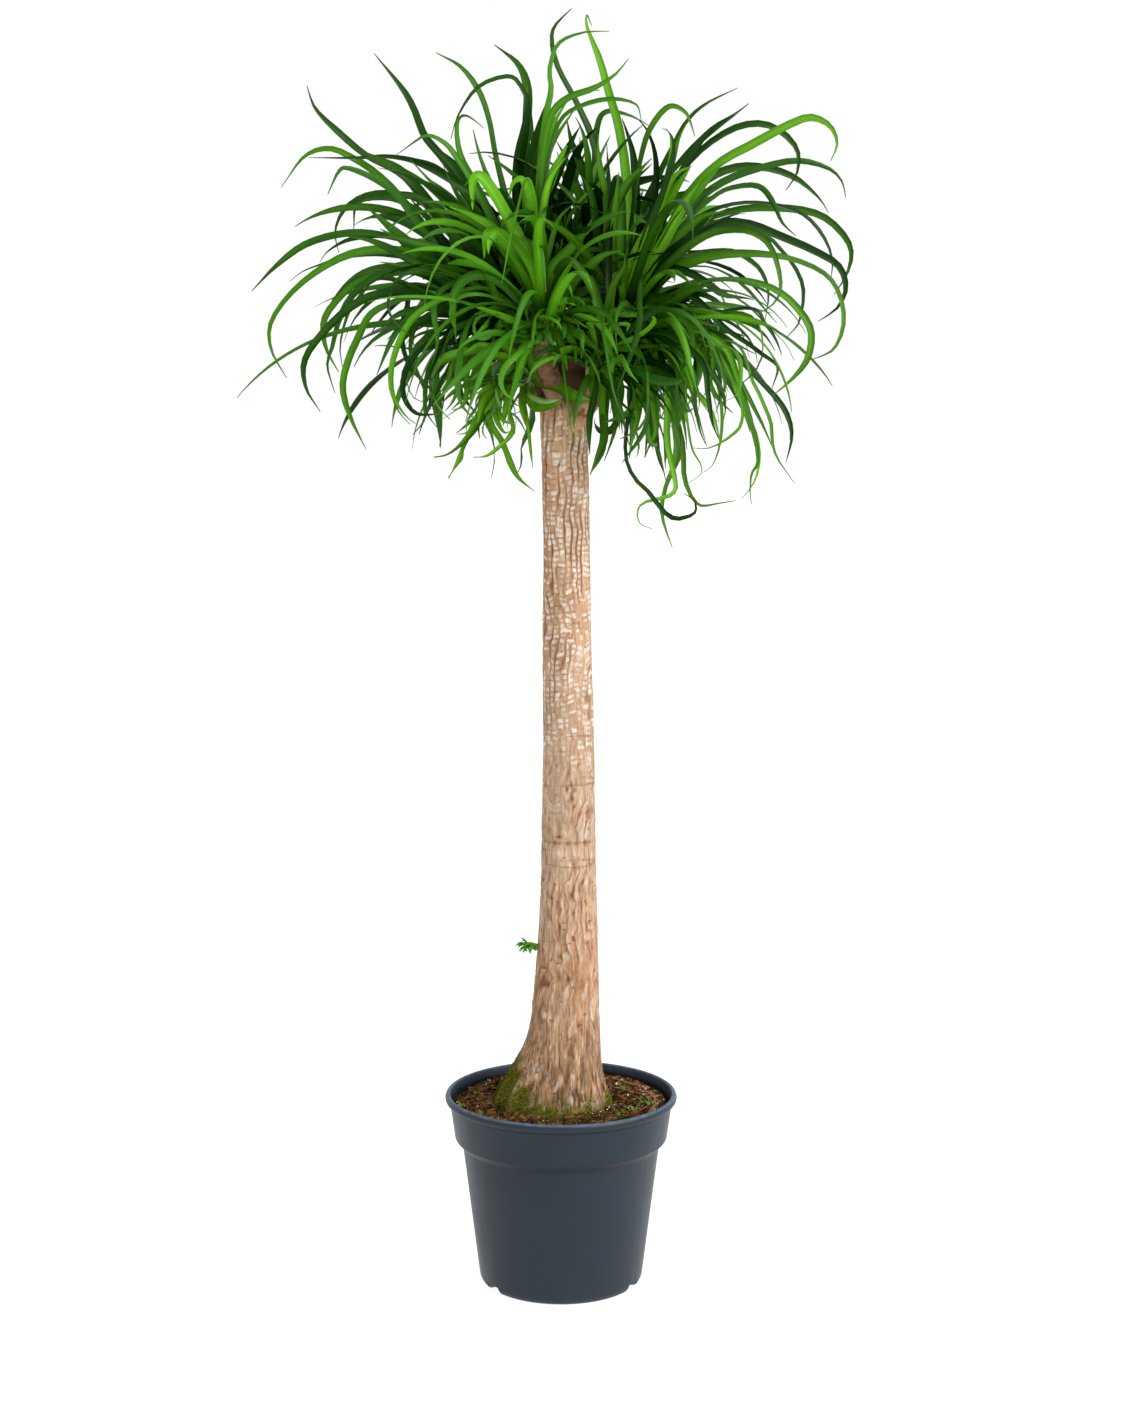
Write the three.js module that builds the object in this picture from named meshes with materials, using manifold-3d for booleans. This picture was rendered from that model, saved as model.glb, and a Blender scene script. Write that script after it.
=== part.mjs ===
// Ponytail palm standing in a round nursery pot.
// Millimetres, +Z up. The origin is the pot's axis on the floor, x to the right, y to the back.
import * as THREE from 'three';
import { mergeVertices } from 'three/addons/utils/BufferGeometryUtils.js';
import Module from 'manifold-3d';

const wasm = await Module();
wasm.setup();

// ---------------------------------------------------------------- driving sizes
const GAP = 0.3;                 // left open between pieces that touch
const TURN = Math.PI * 2;
const RAD = Math.PI / 180;

// Pot: height over the rolled rim, radii at the rim, the collar, the body and the foot.
const POT_HEIGHT = 284;
const RIM_RADIUS = 170;
const COLLAR_TOP = 163;
const COLLAR_FOOT = 155.4;
const BODY_TOP = 144.4;
const BODY_FOOT = 120.3;
const BASE_RADIUS = 111;
const WALL = 2.6;
const FLOOR = 3;
const POT_SIDES = 36;
const NOTCH_WIDTH = 37;          // three notches in the foot, each with one drain hole
const NOTCH_HEIGHT = 12;
const NOTCH_DEPTH = 22;
const NOTCH_TURNS = [213, 333, 93];
const NOTCH_SLANT = 4;           // how far each end of a notch leans in
const NOTCH_WALL_REACH = [113.2, 119.2]; // radius of the notch wall's outer edge, foot and top
const NOTCH_CUT_REACH = [126, 126];
const DRAIN_RADIUS = 4;
const DRAIN_AT = BODY_FOOT - NOTCH_DEPTH / 2 - 2;

const SOIL_TOP = 266;            // mean height of the soil, 18 mm under the rim
const SOIL_TILT = 0.035;         // rise of the soil towards the back
const SOIL_LUMP = 4;
const TRUNK_TOP = 1338;
const TRUNK_BACK = 2;            // the trunk's axis stands this far behind the pot's
const RIBS = 11;                 // ribs round the flare of the foot, fading out upwards
const RIB_DEPTH = 0.028;
const FLARE_TOP = 420;
const FLARE_HEIGHT = 150;

// Growing points of the crown: place of the flat stub end that carries each head.
const HEADS = {
  front: { x: -25, y: -52, z: 1368, from: [-4, -14, 1296], radius: 15 },
  right: { x: 84, y: -22, z: 1366, from: [22, -4, 1282], radius: 16 },
  low_right: { x: 50, y: -64, z: 1312, from: [14, -16, 1256], radius: 12 },
  back_right: { x: 51, y: 56, z: 1372, from: [16, 12, 1290], radius: 15 },
  back_left: { x: -34, y: 56, z: 1374, from: [-6, 12, 1290], radius: 15 },
  left: { x: -68, y: 8, z: 1362, from: [-8, 2, 1284], radius: 14 },
};
const CORE_HEIGHT = 46;          // short stem of packed leaf bases on each stub
const SHOOT = { x: -46, y: -24, z: 1306, from: [-8, -10, 1276], radius: 8, height: 30 };
const SPROUT = { y: -6, z: 502, face: -41, radius: 4 };
const EYE = [0, -3566.5, 1334.3]; // the view point that the leaf routes were read from

// ---------------------------------------------------------------- small helpers
function seeded(seed) {
  let state = seed >>> 0;
  return () => {
    state = (state + 0x6d2b79f5) >>> 0;
    let t = state;
    t = Math.imul(t ^ (t >>> 15), t | 1);
    t ^= t + Math.imul(t ^ (t >>> 7), t | 61);
    return ((t ^ (t >>> 14)) >>> 0) / 4294967296;
  };
}
const add = (a, b, k = 1) => [a[0] + k * b[0], a[1] + k * b[1], a[2] + k * b[2]];
const sub = (a, b) => add(a, b, -1);
const dot = (a, b) => a[0] * b[0] + a[1] * b[1] + a[2] * b[2];
const cross = (a, b) => [
  a[1] * b[2] - a[2] * b[1], a[2] * b[0] - a[0] * b[2], a[0] * b[1] - a[1] * b[0]];
const unit = (a) => {
  const n = Math.sqrt(dot(a, a));
  return [a[0] / n, a[1] / n, a[2] / n];
};
const mix = (a, b, k) => add(a, sub(b, a), k);

// Solid from corners and faces.
function solid(points, faces) {
  const geometry = new THREE.BufferGeometry();
  geometry.setAttribute('position', new THREE.Float32BufferAttribute(points.flat(), 3));
  geometry.setIndex(faces.flat());
  const merged = mergeVertices(geometry, 1e-4);
  const made = new wasm.Manifold(new wasm.Mesh({
    numProp: 3,
    vertProperties: merged.getAttribute('position').array,
    triVerts: Uint32Array.from(merged.getIndex().array),
  }));
  if (made.volume() <= 0) throw new Error('solid is inside out');
  return made;
}

// Skin over rings of equal count, each ring counter-clockwise about the way they follow.
// Every quad is split along its outer diagonal, so a twisted skin never gets thin.
function skin(rings, centres = true) {
  const count = rings[0].length;
  const points = rings.flat();
  const faces = [];
  for (let i = 0; i + 1 < rings.length; i += 1) {
    for (let j = 0; j < count; j += 1) {
      const k = (j + 1) % count;
      const [a, b, c, d] = [i * count + j, i * count + k, (i + 1) * count + k, (i + 1) * count + j];
      const [pa, pb, pc, pd] = [points[a], points[b], points[c], points[d]];
      const out = cross(sub(pc, pa), sub(pd, pb));
      const bulge = dot(sub(add(pa, pc), add(pb, pd)), out);
      if (bulge >= -1e-9) faces.push([a, b, c], [a, c, d]);
      else faces.push([a, b, d], [b, c, d]);
    }
  }
  const last = (rings.length - 1) * count;
  if (count === 3) {
    faces.push([0, 2, 1], [last, last + 1, last + 2]);
  } else {
    const [low, high] = centres === true
      ? [rings[0], rings.at(-1)].map((ring) => ring.reduce((s, p) => add(s, p, 1 / count), [0, 0, 0]))
      : centres;
    points.push(low, high);
    for (let j = 0; j < count; j += 1) {
      const k = (j + 1) % count;
      faces.push([points.length - 2, k, j], [points.length - 1, last + j, last + k]);
    }
  }
  return solid(points, faces);
}

// Join pieces into one body: its outer shell, without pockets closed in between crossing blades.
function fuse(pieces) {
  const shells = wasm.Manifold.union(pieces).decompose();
  return shells.reduce((best, shell) => (shell.volume() > best.volume() ? shell : best));
}

const circle = (radius, z, sides) => Array.from({ length: sides }, (_, j) => {
  const a = (TURN * j) / sides;
  return [radius * Math.cos(a), radius * Math.sin(a), z];
});

// Round rod along points with a radius at each.
function rod(points, radii, sides, flatEnd = false) {
  return skin(points.map((p, i) => {
    const way = i === points.length - 1 && flatEnd
      ? [0, 0, 1]
      : unit(sub(points[Math.min(i + 1, points.length - 1)], points[Math.max(i - 1, 0)]));
    const u = unit(cross(Math.abs(way[2]) > 0.9 ? [0, 1, 0] : [0, 0, 1], way));
    const v = cross(way, u);
    return Array.from({ length: sides }, (_, j) => {
      const a = (TURN * j) / sides;
      return add(add(p, u, radii[i] * Math.cos(a)), v, radii[i] * Math.sin(a));
    });
  }));
}

// ---------------------------------------------------------------- pot
// Block with slanted ends for a notch or, grown, for the wall behind it, whose outer edges lie in
// the skin of the tapered foot.
function notchBlock(turn, grow) {
  const half = NOTCH_WIDTH / 2 + grow;
  const low = grow > 0 ? FLOOR - 1 : -1;
  const top = NOTCH_HEIGHT + grow;
  const inner = BODY_FOOT - NOTCH_DEPTH - grow;
  const [lowReach, topReach] = grow > 0 ? NOTCH_WALL_REACH : NOTCH_CUT_REACH;
  const corners = [[-half, low], [half, low], [half - NOTCH_SLANT, top], [-half + NOTCH_SLANT, top]];
  const [c, s] = [Math.cos(turn * RAD), Math.sin(turn * RAD)];
  const ring = (away) => corners.map(([t, z]) => {
    const r = away(t, z);
    return [r * c - t * s, r * s + t * c, z];
  });
  return skin([
    ring(() => inner),
    ring((t, z) => Math.sqrt((z === low ? lowReach : topReach) ** 2 - t * t)),
  ]);
}

function makePot() {
  const profile = [
    [BASE_RADIUS, 0], [116.4, 3.2], [119.4, 8.5], [BODY_FOOT, 14],
    [BODY_TOP, 206], [149.4, 211], [COLLAR_FOOT, 217.5], [COLLAR_TOP, 270.5],
    [167, 271.6], [169.5, 274.4], [RIM_RADIUS, 278.5], [168.4, 282.4], [165.2, POT_HEIGHT],
    [162.6, 282.6], [COLLAR_TOP - WALL, 270], [COLLAR_FOOT - WALL, 219.5],
    [BODY_TOP - WALL, 207.5], [BODY_FOOT - WALL, 14], [112, FLOOR],
  ];
  const rings = profile.map(([r, z]) => circle(r, z, POT_SIDES));
  let pot = skin(rings, [[0, 0, 0], [0, 0, FLOOR]]);
  for (const turn of NOTCH_TURNS) {
    const [c, s] = [Math.cos(turn * RAD), Math.sin(turn * RAD)];
    const [x, y] = [DRAIN_AT * c, DRAIN_AT * s];
    const drain = rod([[x, y, 1], [x, y, 2.5 * NOTCH_HEIGHT]], [DRAIN_RADIUS, DRAIN_RADIUS], 8);
    pot = pot.add(notchBlock(turn, WALL)).subtract(notchBlock(turn, 0)).subtract(drain);
  }
  return pot;
}

// ---------------------------------------------------------------- trunk
// Height, middle across, half width across, half depth: the outline read at each height.
const TRUNK_SECTIONS = [
  [200, -8, 58, 46], [214, -11, 72, 56], [236, -13, 82, 62], [256, -13, 86, 64], [274, -12.5, 85, 62],
  [286, -11.5, 80, 59], [301, -9.5, 73.5, 56.5], [323, -4.8, 65, 53.5], [346, 0.4, 58.6, 51.5],
  [376, 5.5, 52.3, 49.5], [421, 7.7, 48.6, 47], [496, 9.8, 44.1, 43], [570, 10.5, 41.1, 40],
  [644, 10.9, 39.1, 38.5], [718, 10.8, 38.3, 37.5], [791, 10.8, 36.8, 36.5], [864, 10.4, 36.3, 36],
  [936, 9.3, 35.1, 35], [1008, 8.6, 34.3, 34], [1065, 8.2, 33.2, 33], [1151, 6.4, 33.5, 33],
  [1222, 5, 33.3, 33], [1264, 4.3, 34, 33], [1300, 4.5, 34.5, 33], [1324, 5, 33, 31],
  [TRUNK_TOP, 5, 25, 24],
];
const TRUNK_SIDES = 22;

function trunkRing([z, middle, across, deep], grow) {
  const rib = THREE.MathUtils.smoothstep(FLARE_TOP - z, 0, FLARE_HEIGHT) * RIB_DEPTH;
  return Array.from({ length: TRUNK_SIDES }, (_, j) => {
    const a = (TURN * j) / TRUNK_SIDES;
    const wave = 1 + rib * Math.cos(RIBS * a + 0.8) + 0.012 * Math.sin(3 * a + z / 85)
      + 0.008 * Math.sin(5 * a - z / 47);
    return [
      middle + (across * wave + grow) * Math.cos(a), TRUNK_BACK + (deep * wave + grow) * Math.sin(a),
      z];
  });
}

function trunkColumn(grow) {
  return skin(TRUNK_SECTIONS.map((row, i) => trunkRing(
    i === 0 ? [row[0] - (grow > 0 ? GAP : 0), ...row.slice(1)] : row, grow)));
}

// Stub from the trunk's top to a growing point: leaves the trunk sideways, ends level and flat.
function stubPath({ x, y, z, from }) {
  const end = [x, y, z];
  const knee = [x + (from[0] - x) * 0.25, y + (from[1] - y) * 0.25, z - (z - from[2]) * 0.45];
  return [from, mix(from, knee, 0.5), knee, mix(knee, end, 0.55), end];
}
const stubRadii = (radius) => [radius * 1.15, radius * 1.1, radius, radius, radius * 0.96];

function makeTrunk() {
  const parts = [trunkColumn(0)];
  for (const head of [...Object.values(HEADS), SHOOT]) {
    parts.push(rod(stubPath(head), stubRadii(head.radius), 10, true));
  }
  const bud = [SPROUT.face, SPROUT.y, SPROUT.z];
  parts.push(rod([add(bud, [22, 0, 0]), bud], [SPROUT.radius + 1.5, SPROUT.radius], 8));
  return fuse(parts);
}

// ---------------------------------------------------------------- soil
function makeSoil() {
  const g = GAP;
  const sides = 24;
  const lump = (r, a) => SOIL_LUMP * (0.45 * Math.sin(3 * a + r / 21) + 0.35 * Math.sin(5 * a - r / 13)
    + 0.3 * Math.cos(r / 9 + 2 * a));
  const wall = [[112 - g, FLOOR + g], [BODY_FOOT - WALL - g, 14 + g], [BODY_TOP - WALL - g, 207.5],
    [COLLAR_FOOT - WALL - g, 220], [157.4, 254]];
  const rings = wall.map(([r, z]) => circle(r * 0.997, z, sides));
  for (const r of [156.6, 146, 132, 117, 102, 60]) {
    rings.push(circle(r, 0, sides).map(([x, y], j) => {
      const a = (TURN * j) / sides;
      const edge = THREE.MathUtils.smoothstep(r, 128, 157);
      return [x, y, SOIL_TOP + SOIL_TILT * y - 1.5 * edge + lump(r, a) * (1 - 0.4 * edge)];
    }));
  }
  let soil = skin(rings, [[0, 0, FLOOR + g], [0, 0, SOIL_TOP]]);
  for (const turn of NOTCH_TURNS) soil = soil.subtract(notchBlock(turn, WALL + g));
  return soil.subtract(trunkColumn(0.5));
}

// ---------------------------------------------------------------- leaves
// Long leaves read one by one: head, width, depth of the tip (behind the axis is plus),
// roll of the blade in degrees, then x and z from the tip back to the head.
const LONG_LEAVES = [
  ['right', 19, -50, 68, 153, 1584, 140, 1562, 127, 1534, 108, 1470],
  ['right', 18, -88, 60, 179, 1568, 160, 1540, 138, 1498, 112, 1450],
  ['right', 18, -120, 62, 210, 1547, 188, 1528, 165, 1500, 128, 1448],
  ['right', 16, -90, 66, 107, 1265, 108, 1310, 107, 1365, 100, 1390],
  ['front', 20, -96, 66, -135, 1590, -118, 1606, -100, 1592, -70, 1540, -45, 1455],
  ['front', 20, -130, 62, -108, 1490, -105, 1522, -90, 1522, -60, 1475, -38, 1440],
  ['front', 18, -70, 60, -56, 1598, -52, 1578, -41, 1521, -32, 1450],
  ['front', 14, -84, 62, -35, 1328, -45, 1345, -51, 1385, -47, 1404],
  ['shoot', 12, -62, -50, 40, 1305, 14, 1300, -13, 1313, -44, 1326],
  ['shoot', 9, -56, -50, -2, 1293, -24, 1290, -47, 1300],
  ['shoot', 9, -66, 40, -37, 1163, -60, 1181, -73, 1202, -81, 1227, -90, 1245, -102, 1257, -111, 1270,
    -105, 1289, -87, 1306],
  ['shoot', 8, -48, 45, -124, 1211, -105, 1214, -87, 1227, -71, 1242, -68, 1255, -72, 1277],
  ['shoot', 7, -58, 40, -40, 1196, -45, 1236, -49, 1272, -54, 1296],
  ['shoot', 9, -80, 45, -180, 1211, -162, 1215, -143, 1228, -124, 1247, -110, 1270, -90, 1300],
  ['shoot', 9, -40, 45, -160, 1181, -149, 1202, -140, 1223, -117, 1273, -92, 1306],
  ['shoot', 10, -56, 50, -155, 1279, -143, 1290, -128, 1306, -100, 1320],
  ['shoot', 8, -34, 45, -149, 1245, -115, 1273, -88, 1306],
  ['left', 16, 0, 38, -436, 1444, -400, 1480, -355, 1511, -293, 1525, -232, 1517, -170, 1490],
  ['left', 16, -70, 36, -388, 1323, -409, 1363, -408, 1402, -375, 1446, -326, 1482, -281, 1499,
    -230, 1500, -170, 1480],
  ['left', 15, -46, 40, -341, 1276, -361, 1310, -361, 1351, -327, 1396, -283, 1431, -238, 1443,
    -197, 1437, -150, 1421],
  ['left', 14, -112, 38, -277, 1223, -299, 1269, -309, 1310, -301, 1347, -286, 1380, -269, 1411,
    -240, 1427, -205, 1435, -150, 1425],
  ['left', 14, 30, -40, -320, 1302, -330, 1340, -322, 1368, -314, 1400, -300, 1430, -275, 1455,
    -240, 1470, -180, 1464],
  ['left', 15, 66, 36, -314, 1331, -332, 1365, -335, 1400, -320, 1427, -288, 1456, -249, 1472,
    -200, 1475],
  ['left', 13, -20, -38, -327, 1578, -311, 1610, -296, 1614, -262, 1600, -229, 1576, -199, 1535],
  ['left', 14, 40, 38, -392, 1588, -359, 1630, -324, 1641, -291, 1628, -255, 1604, -211, 1557],
  ['left', 12, 60, 36, -382, 1458, -365, 1471, -345, 1479, -304, 1491, -240, 1494, -180, 1476],
  ['left', 12, 96, 38, -339, 1485, -326, 1501, -293, 1517, -240, 1520, -180, 1494],
  ['left', 12, -134, 40, -175, 1272, -205, 1273, -222, 1296, -222, 1325, -205, 1355, -175, 1380,
    -140, 1398],
  ['left', 12, -92, 40, -215, 1384, -237, 1405, -243, 1430, -232, 1458, -205, 1470, -150, 1456],
  ['left', 12, -60, 44, -176, 1254, -190, 1275, -192, 1305, -204, 1335, -212, 1365, -200, 1400,
    -150, 1414],
  ['left', 12, -96, 42, -190, 1314, -183, 1334, -172, 1356, -160, 1380, -130, 1400],
  ['left', 11, -40, 42, -186, 1279, -172, 1310, -158, 1340, -142, 1372, -116, 1396],
  ['back_left', 17, 70, 36, -354, 1727, -342, 1695, -307, 1660, -271, 1630, -220, 1600, -170, 1537],
  ['back_left', 15, 40, 34, -353, 1629, -287, 1628, -245, 1630, -206, 1624, -169, 1610, -120, 1560],
  ['back_left', 15, 24, 40, -260, 1771, -221, 1723, -205, 1695, -190, 1658, -165, 1628, -125, 1570],
  ['back_left', 14, 96, 38, -312, 1497, -317, 1527, -303, 1558, -272, 1577, -231, 1578, -180, 1556],
  ['back_left', 13, 126, -38, -291, 1527, -287, 1564, -258, 1574, -219, 1566, -160, 1524],
  ['back_left', 13, 160, 38, -246, 1525, -228, 1545, -205, 1562, -175, 1566, -125, 1530],
  ['back_left', 20, 50, 60, -93, 1783, -60, 1757, -47, 1724, -48, 1680, -52, 1620, -48, 1530],
  ['back_left', 16, 104, 44, -174, 1772, -140, 1753, -115, 1720, -101, 1680, -92, 1630, -75, 1560],
  ['back_left', 9, 30, 40, -154, 1654, -143, 1688, -115, 1726, -74, 1740, -55, 1725, -44, 1690,
    -38, 1600],
  ['front', 14, -60, 40, -231, 1632, -205, 1650, -187, 1659, -165, 1650, -147, 1630, -110, 1570],
  ['front', 15, -50, -42, 67, 1801, 30, 1799, -3, 1784, -15, 1750, -13, 1722, -20, 1685, -28, 1600],
  ['front', 14, -40, 40, 94, 1764, 75, 1742, 46, 1724, 10, 1711, -12, 1690, -22, 1650, -28, 1580],
  ['front', 13, -84, 40, 112, 1680, 104, 1702, 70, 1709, 30, 1700, 0, 1680, -16, 1630, -26, 1540],
  ['front', 13, -50, 44, -107, 1669, -130, 1686, -143, 1682, -146, 1660, -138, 1625, -108, 1570],
  ['front', 14, -108, 64, 8, 1630, -8, 1612, -20, 1585, -28, 1520],
  ['front', 12, -150, 40, -205, 1258, -222, 1272, -238, 1300, -240, 1335, -228, 1375, -205, 1410,
    -160, 1436, -100, 1446],
  ['front', 13, -96, 58, 60, 1330, 52, 1365, 53, 1400, 50, 1440, 35, 1470, 10, 1480],
  ['front', 7, -118, 50, -83, 1456, -72, 1510, -60, 1560, -49, 1599, -38, 1580, -32, 1500],
  ['right', 16, -12, 44, 43, 1808, 36, 1823, 36, 1806, 53, 1764, 67, 1716, 82, 1664, 92, 1580],
  ['right', 13, -96, 64, 71, 1350, 68, 1420, 68, 1500, 72, 1580, 80, 1600, 86, 1560],
  ['right', 14, -44, 42, 187, 1658, 175, 1689, 152, 1699, 130, 1677, 115, 1640, 102, 1560],
  ['right', 12, -74, 44, 146, 1669, 156, 1655, 156, 1630, 142, 1580, 112, 1500],
  ['right', 17, -40, 38, 355, 1349, 385, 1364, 398, 1400, 391, 1441, 368, 1470, 318, 1490,
    260, 1496, 200, 1490, 145, 1464],
  ['right', 16, -96, 38, 300, 1299, 327, 1322, 348, 1350, 353, 1385, 340, 1412, 310, 1441,
    270, 1457, 220, 1460, 160, 1448],
  ['right', 15, -10, 38, 362, 1402, 390, 1422, 401, 1450, 390, 1480, 355, 1501, 310, 1520,
    260, 1538, 210, 1535, 150, 1490],
  ['right', 17, -66, 46, 377, 1624, 386, 1648, 376, 1672, 350, 1684, 320, 1675, 264, 1645,
    223, 1622, 180, 1580, 135, 1500],
  ['right', 14, -120, -40, 330, 1521, 310, 1540, 298, 1566, 279, 1588, 250, 1589, 215, 1575,
    160, 1520],
  ['right', 13, -150, 40, 278, 1413, 300, 1428, 309, 1452, 300, 1493, 283, 1518, 250, 1530,
    200, 1520, 140, 1470],
  ['right', 14, -70, 42, 319, 1203, 327, 1235, 324, 1262, 308, 1291, 270, 1330, 235, 1365],
  ['right', 12, -126, 42, 298, 1307, 306, 1338, 287, 1354, 262, 1372, 232, 1392],
  ['right', 12, -30, 42, 312, 1355, 304, 1375, 288, 1398, 255, 1420],
  ['back_right', 16, 66, 40, 15, 1832, -9, 1808, -13, 1785, -4, 1750, 24, 1698, 48, 1638, 60, 1540],
  ['back_right', 13, 96, 42, 124, 1672, 102, 1684, 83, 1690, 65, 1692, 53, 1680, 48, 1640, 50, 1540],
  ['back_right', 15, 60, 38, 385, 1440, 403, 1470, 408, 1500, 394, 1526, 363, 1550, 316, 1559,
    250, 1557, 190, 1535, 120, 1480],
  ['back_right', 14, 30, 38, 380, 1462, 381, 1490, 367, 1522, 340, 1550, 300, 1564, 250, 1566,
    200, 1550, 140, 1505],
  ['back_right', 14, 96, -38, 399, 1574, 393, 1597, 373, 1615, 330, 1625, 279, 1615, 228, 1596,
    180, 1560, 110, 1490],
  ['back_right', 16, 130, 40, 375, 1553, 361, 1574, 328, 1601, 287, 1615, 242, 1615, 195, 1592,
    120, 1520],
  ['back_right', 15, 70, 40, 315, 1584, 331, 1610, 329, 1642, 300, 1669, 265, 1675, 225, 1660,
    180, 1622, 110, 1530],
  ['back_right', 15, 40, 42, 262, 1703, 245, 1690, 205, 1661, 165, 1620, 105, 1540],
  ['back_right', 14, 14, 40, 246, 1724, 202, 1702, 175, 1677, 155, 1640, 125, 1580, 90, 1510],
  ['back_right', 13, 160, 38, 318, 1380, 336, 1402, 341, 1445, 330, 1475, 310, 1500, 285, 1522,
    230, 1536, 150, 1500],
  ['back_right', 12, 190, 40, 287, 1400, 292, 1435, 287, 1461, 270, 1484, 230, 1500, 150, 1480],
  ['low_right', 15, -90, 44, 159, 1083, 146, 1118, 143, 1145, 152, 1182, 167, 1213, 163, 1250,
    168, 1290, 162, 1345],
  ['low_right', 12, -120, 44, 132, 1109, 112, 1118, 109, 1137, 121, 1149, 153, 1157, 163, 1170,
    158, 1195, 150, 1240, 148, 1330],
  ['low_right', 12, -64, 44, 175, 1160, 190, 1150, 190, 1132, 165, 1124, 146, 1134, 126, 1160,
    103, 1183, 91, 1215, 94, 1268, 108, 1350],
  ['low_right', 13, -62, 66, 41, 1188, 51, 1203, 59, 1221, 61, 1238, 59, 1269, 59, 1310, 66, 1366],
  ['low_right', 13, -50, 42, 148, 1186, 140, 1207, 136, 1232, 132, 1269, 128, 1320],
  ['low_right', 10, -30, 44, 119, 1211, 122, 1240, 124, 1280, 122, 1340],
  ['low_right', 12, -70, 44, 205, 1230, 196, 1252, 190, 1285, 182, 1340],
  ['low_right', 11, -104, 44, 225, 1235, 214, 1262, 208, 1300, 196, 1350],
  ['low_right', 12, -140, 42, 184, 1225, 207, 1224, 225, 1231, 244, 1244, 255, 1258, 256, 1285,
    238, 1330, 190, 1385],
  ['low_right', 12, -10, 42, 202, 1190, 217, 1203, 227, 1240, 226, 1290, 206, 1350],
  ['low_right', 14, -60, 42, 257, 1153, 269, 1167, 278, 1186, 281, 1211, 277, 1238, 267, 1263,
    250, 1305, 215, 1370],
  ['low_right', 13, -100, 42, 332, 1175, 308, 1209, 300, 1232, 298, 1258, 290, 1279, 272, 1316,
    230, 1376],
  ['low_right', 8, -132, 44, 180, 1174, 199, 1188, 198, 1203, 186, 1224, 178, 1270, 170, 1340],
];

// The rest of the crown, by rule: how many on each head and the spans their leaves are drawn from
// (length, width, rise at the root and at the tip in degrees).
// Outer leaves fan out over the head's own sector, upright ones fill the middle, and a skirt of
// short ones hangs around the foot of each head.
const OUTER = { length: [270, 440], width: [13, 19], rise: [6, 76], fall: [-86, -12] };
const UPRIGHT = { length: [200, 350], width: [14, 20], rise: [62, 88], fall: [-30, 55] };
const SKIRT = { length: [110, 230], width: [9, 13], rise: [-15, 40], fall: [-88, -66] };
const YOUNG = { length: [60, 135], width: [8, 12], rise: [-5, 65], fall: [-80, -15] };
const RULE_LEAVES = [
  { head: 'front', count: 9, turn: [205, 290], ...OUTER },
  { head: 'right', count: 6, turn: [288, 362], ...OUTER },
  { head: 'left', count: 4, turn: [150, 205], ...OUTER },
  { head: 'back_left', count: 12, turn: [78, 150], ...OUTER },
  { head: 'back_right', count: 12, turn: [2, 78], ...OUTER },
  { head: 'front', count: 7, turn: [180, 380], ...UPRIGHT },
  { head: 'right', count: 6, turn: [120, 340], ...UPRIGHT },
  { head: 'back_left', count: 9, turn: [0, 220], ...UPRIGHT },
  { head: 'back_right', count: 9, turn: [0, 200], ...UPRIGHT },
  { head: 'left', count: 4, turn: [90, 270], ...UPRIGHT },
  { head: 'front', count: 6, turn: [190, 330], ...SKIRT },
  { head: 'low_right', count: 9, turn: [250, 380], ...SKIRT },
  { head: 'left', count: 5, turn: [140, 215], ...SKIRT },
  { head: 'back_left', count: 5, turn: [70, 170], ...SKIRT },
  { head: 'back_right', count: 5, turn: [-10, 100], ...SKIRT },
  { head: 'shoot', count: 12, turn: [165, 262], ...YOUNG },
];
// Least distance between blades of two heads, and between blades of one head outside the bundle
// round its growing point, for read leaves and for leaves by rule.
const CROSS_CLEAR = 7;
const READ_ROOM = { clear: 3.2, bundle: 60 };
const RULE_ROOM = { clear: 4.2, bundle: 45 };
// A read leaf with no room is tried again with its tip nearer or farther by these steps.
const DEPTH_TRIES = [0, 12, -12, 24, -24, 38, -38, 52, -52, 68, -68, 86, -86, 106, -106, 128, -128];

const BEND_STEP = 0.62;          // radians that a blade bends between two stations, about
const BEND_WEIGHT = 90;          // mm that a radian of bend counts for when stations are spread
const FEELER_STEP = 6;           // spacing of the points that feel for room along a blade

const growPoint = (name) => (name === 'shoot'
  ? [SHOOT.x, SHOOT.y, SHOOT.z + 20]
  : [HEADS[name].x, HEADS[name].y, HEADS[name].z + 26]);

// A point read in the plane of the trunk's axis, pushed along its line of sight to depth y.
function seen(x, z, y) {
  const k = (y - EYE[1]) / -EYE[1];
  return [EYE[0] + (x - EYE[0]) * k, y, EYE[2] + (z - EYE[2]) * k];
}

// Where a leaf leaves its core: steep leaves from the top, low ones from the foot, off to their side.
function rootPoint(name, rise, turn) {
  const [out, low, high] = name === 'shoot' ? [2, -8, 6] : [7, -16, 14];
  const k = Math.max(0, Math.min(1, rise / 80));
  return add(growPoint(name), [out * Math.cos(turn), out * Math.sin(turn), low + (high - low) * k]);
}

// Length run along a line of points, with `weight` mm added for each radian that it bends.
function lineRun(line, weight = 0) {
  const run = [0];
  for (let i = 1; i < line.length; i += 1) {
    const d = sub(line[i], line[i - 1]);
    const before = i > 1 ? sub(line[i - 1], line[i - 2]) : d;
    const bend = Math.acos(Math.min(1, dot(unit(d), unit(before))));
    run.push(run[i - 1] + Math.sqrt(dot(d, d)) + weight * bend);
  }
  return run;
}

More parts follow.
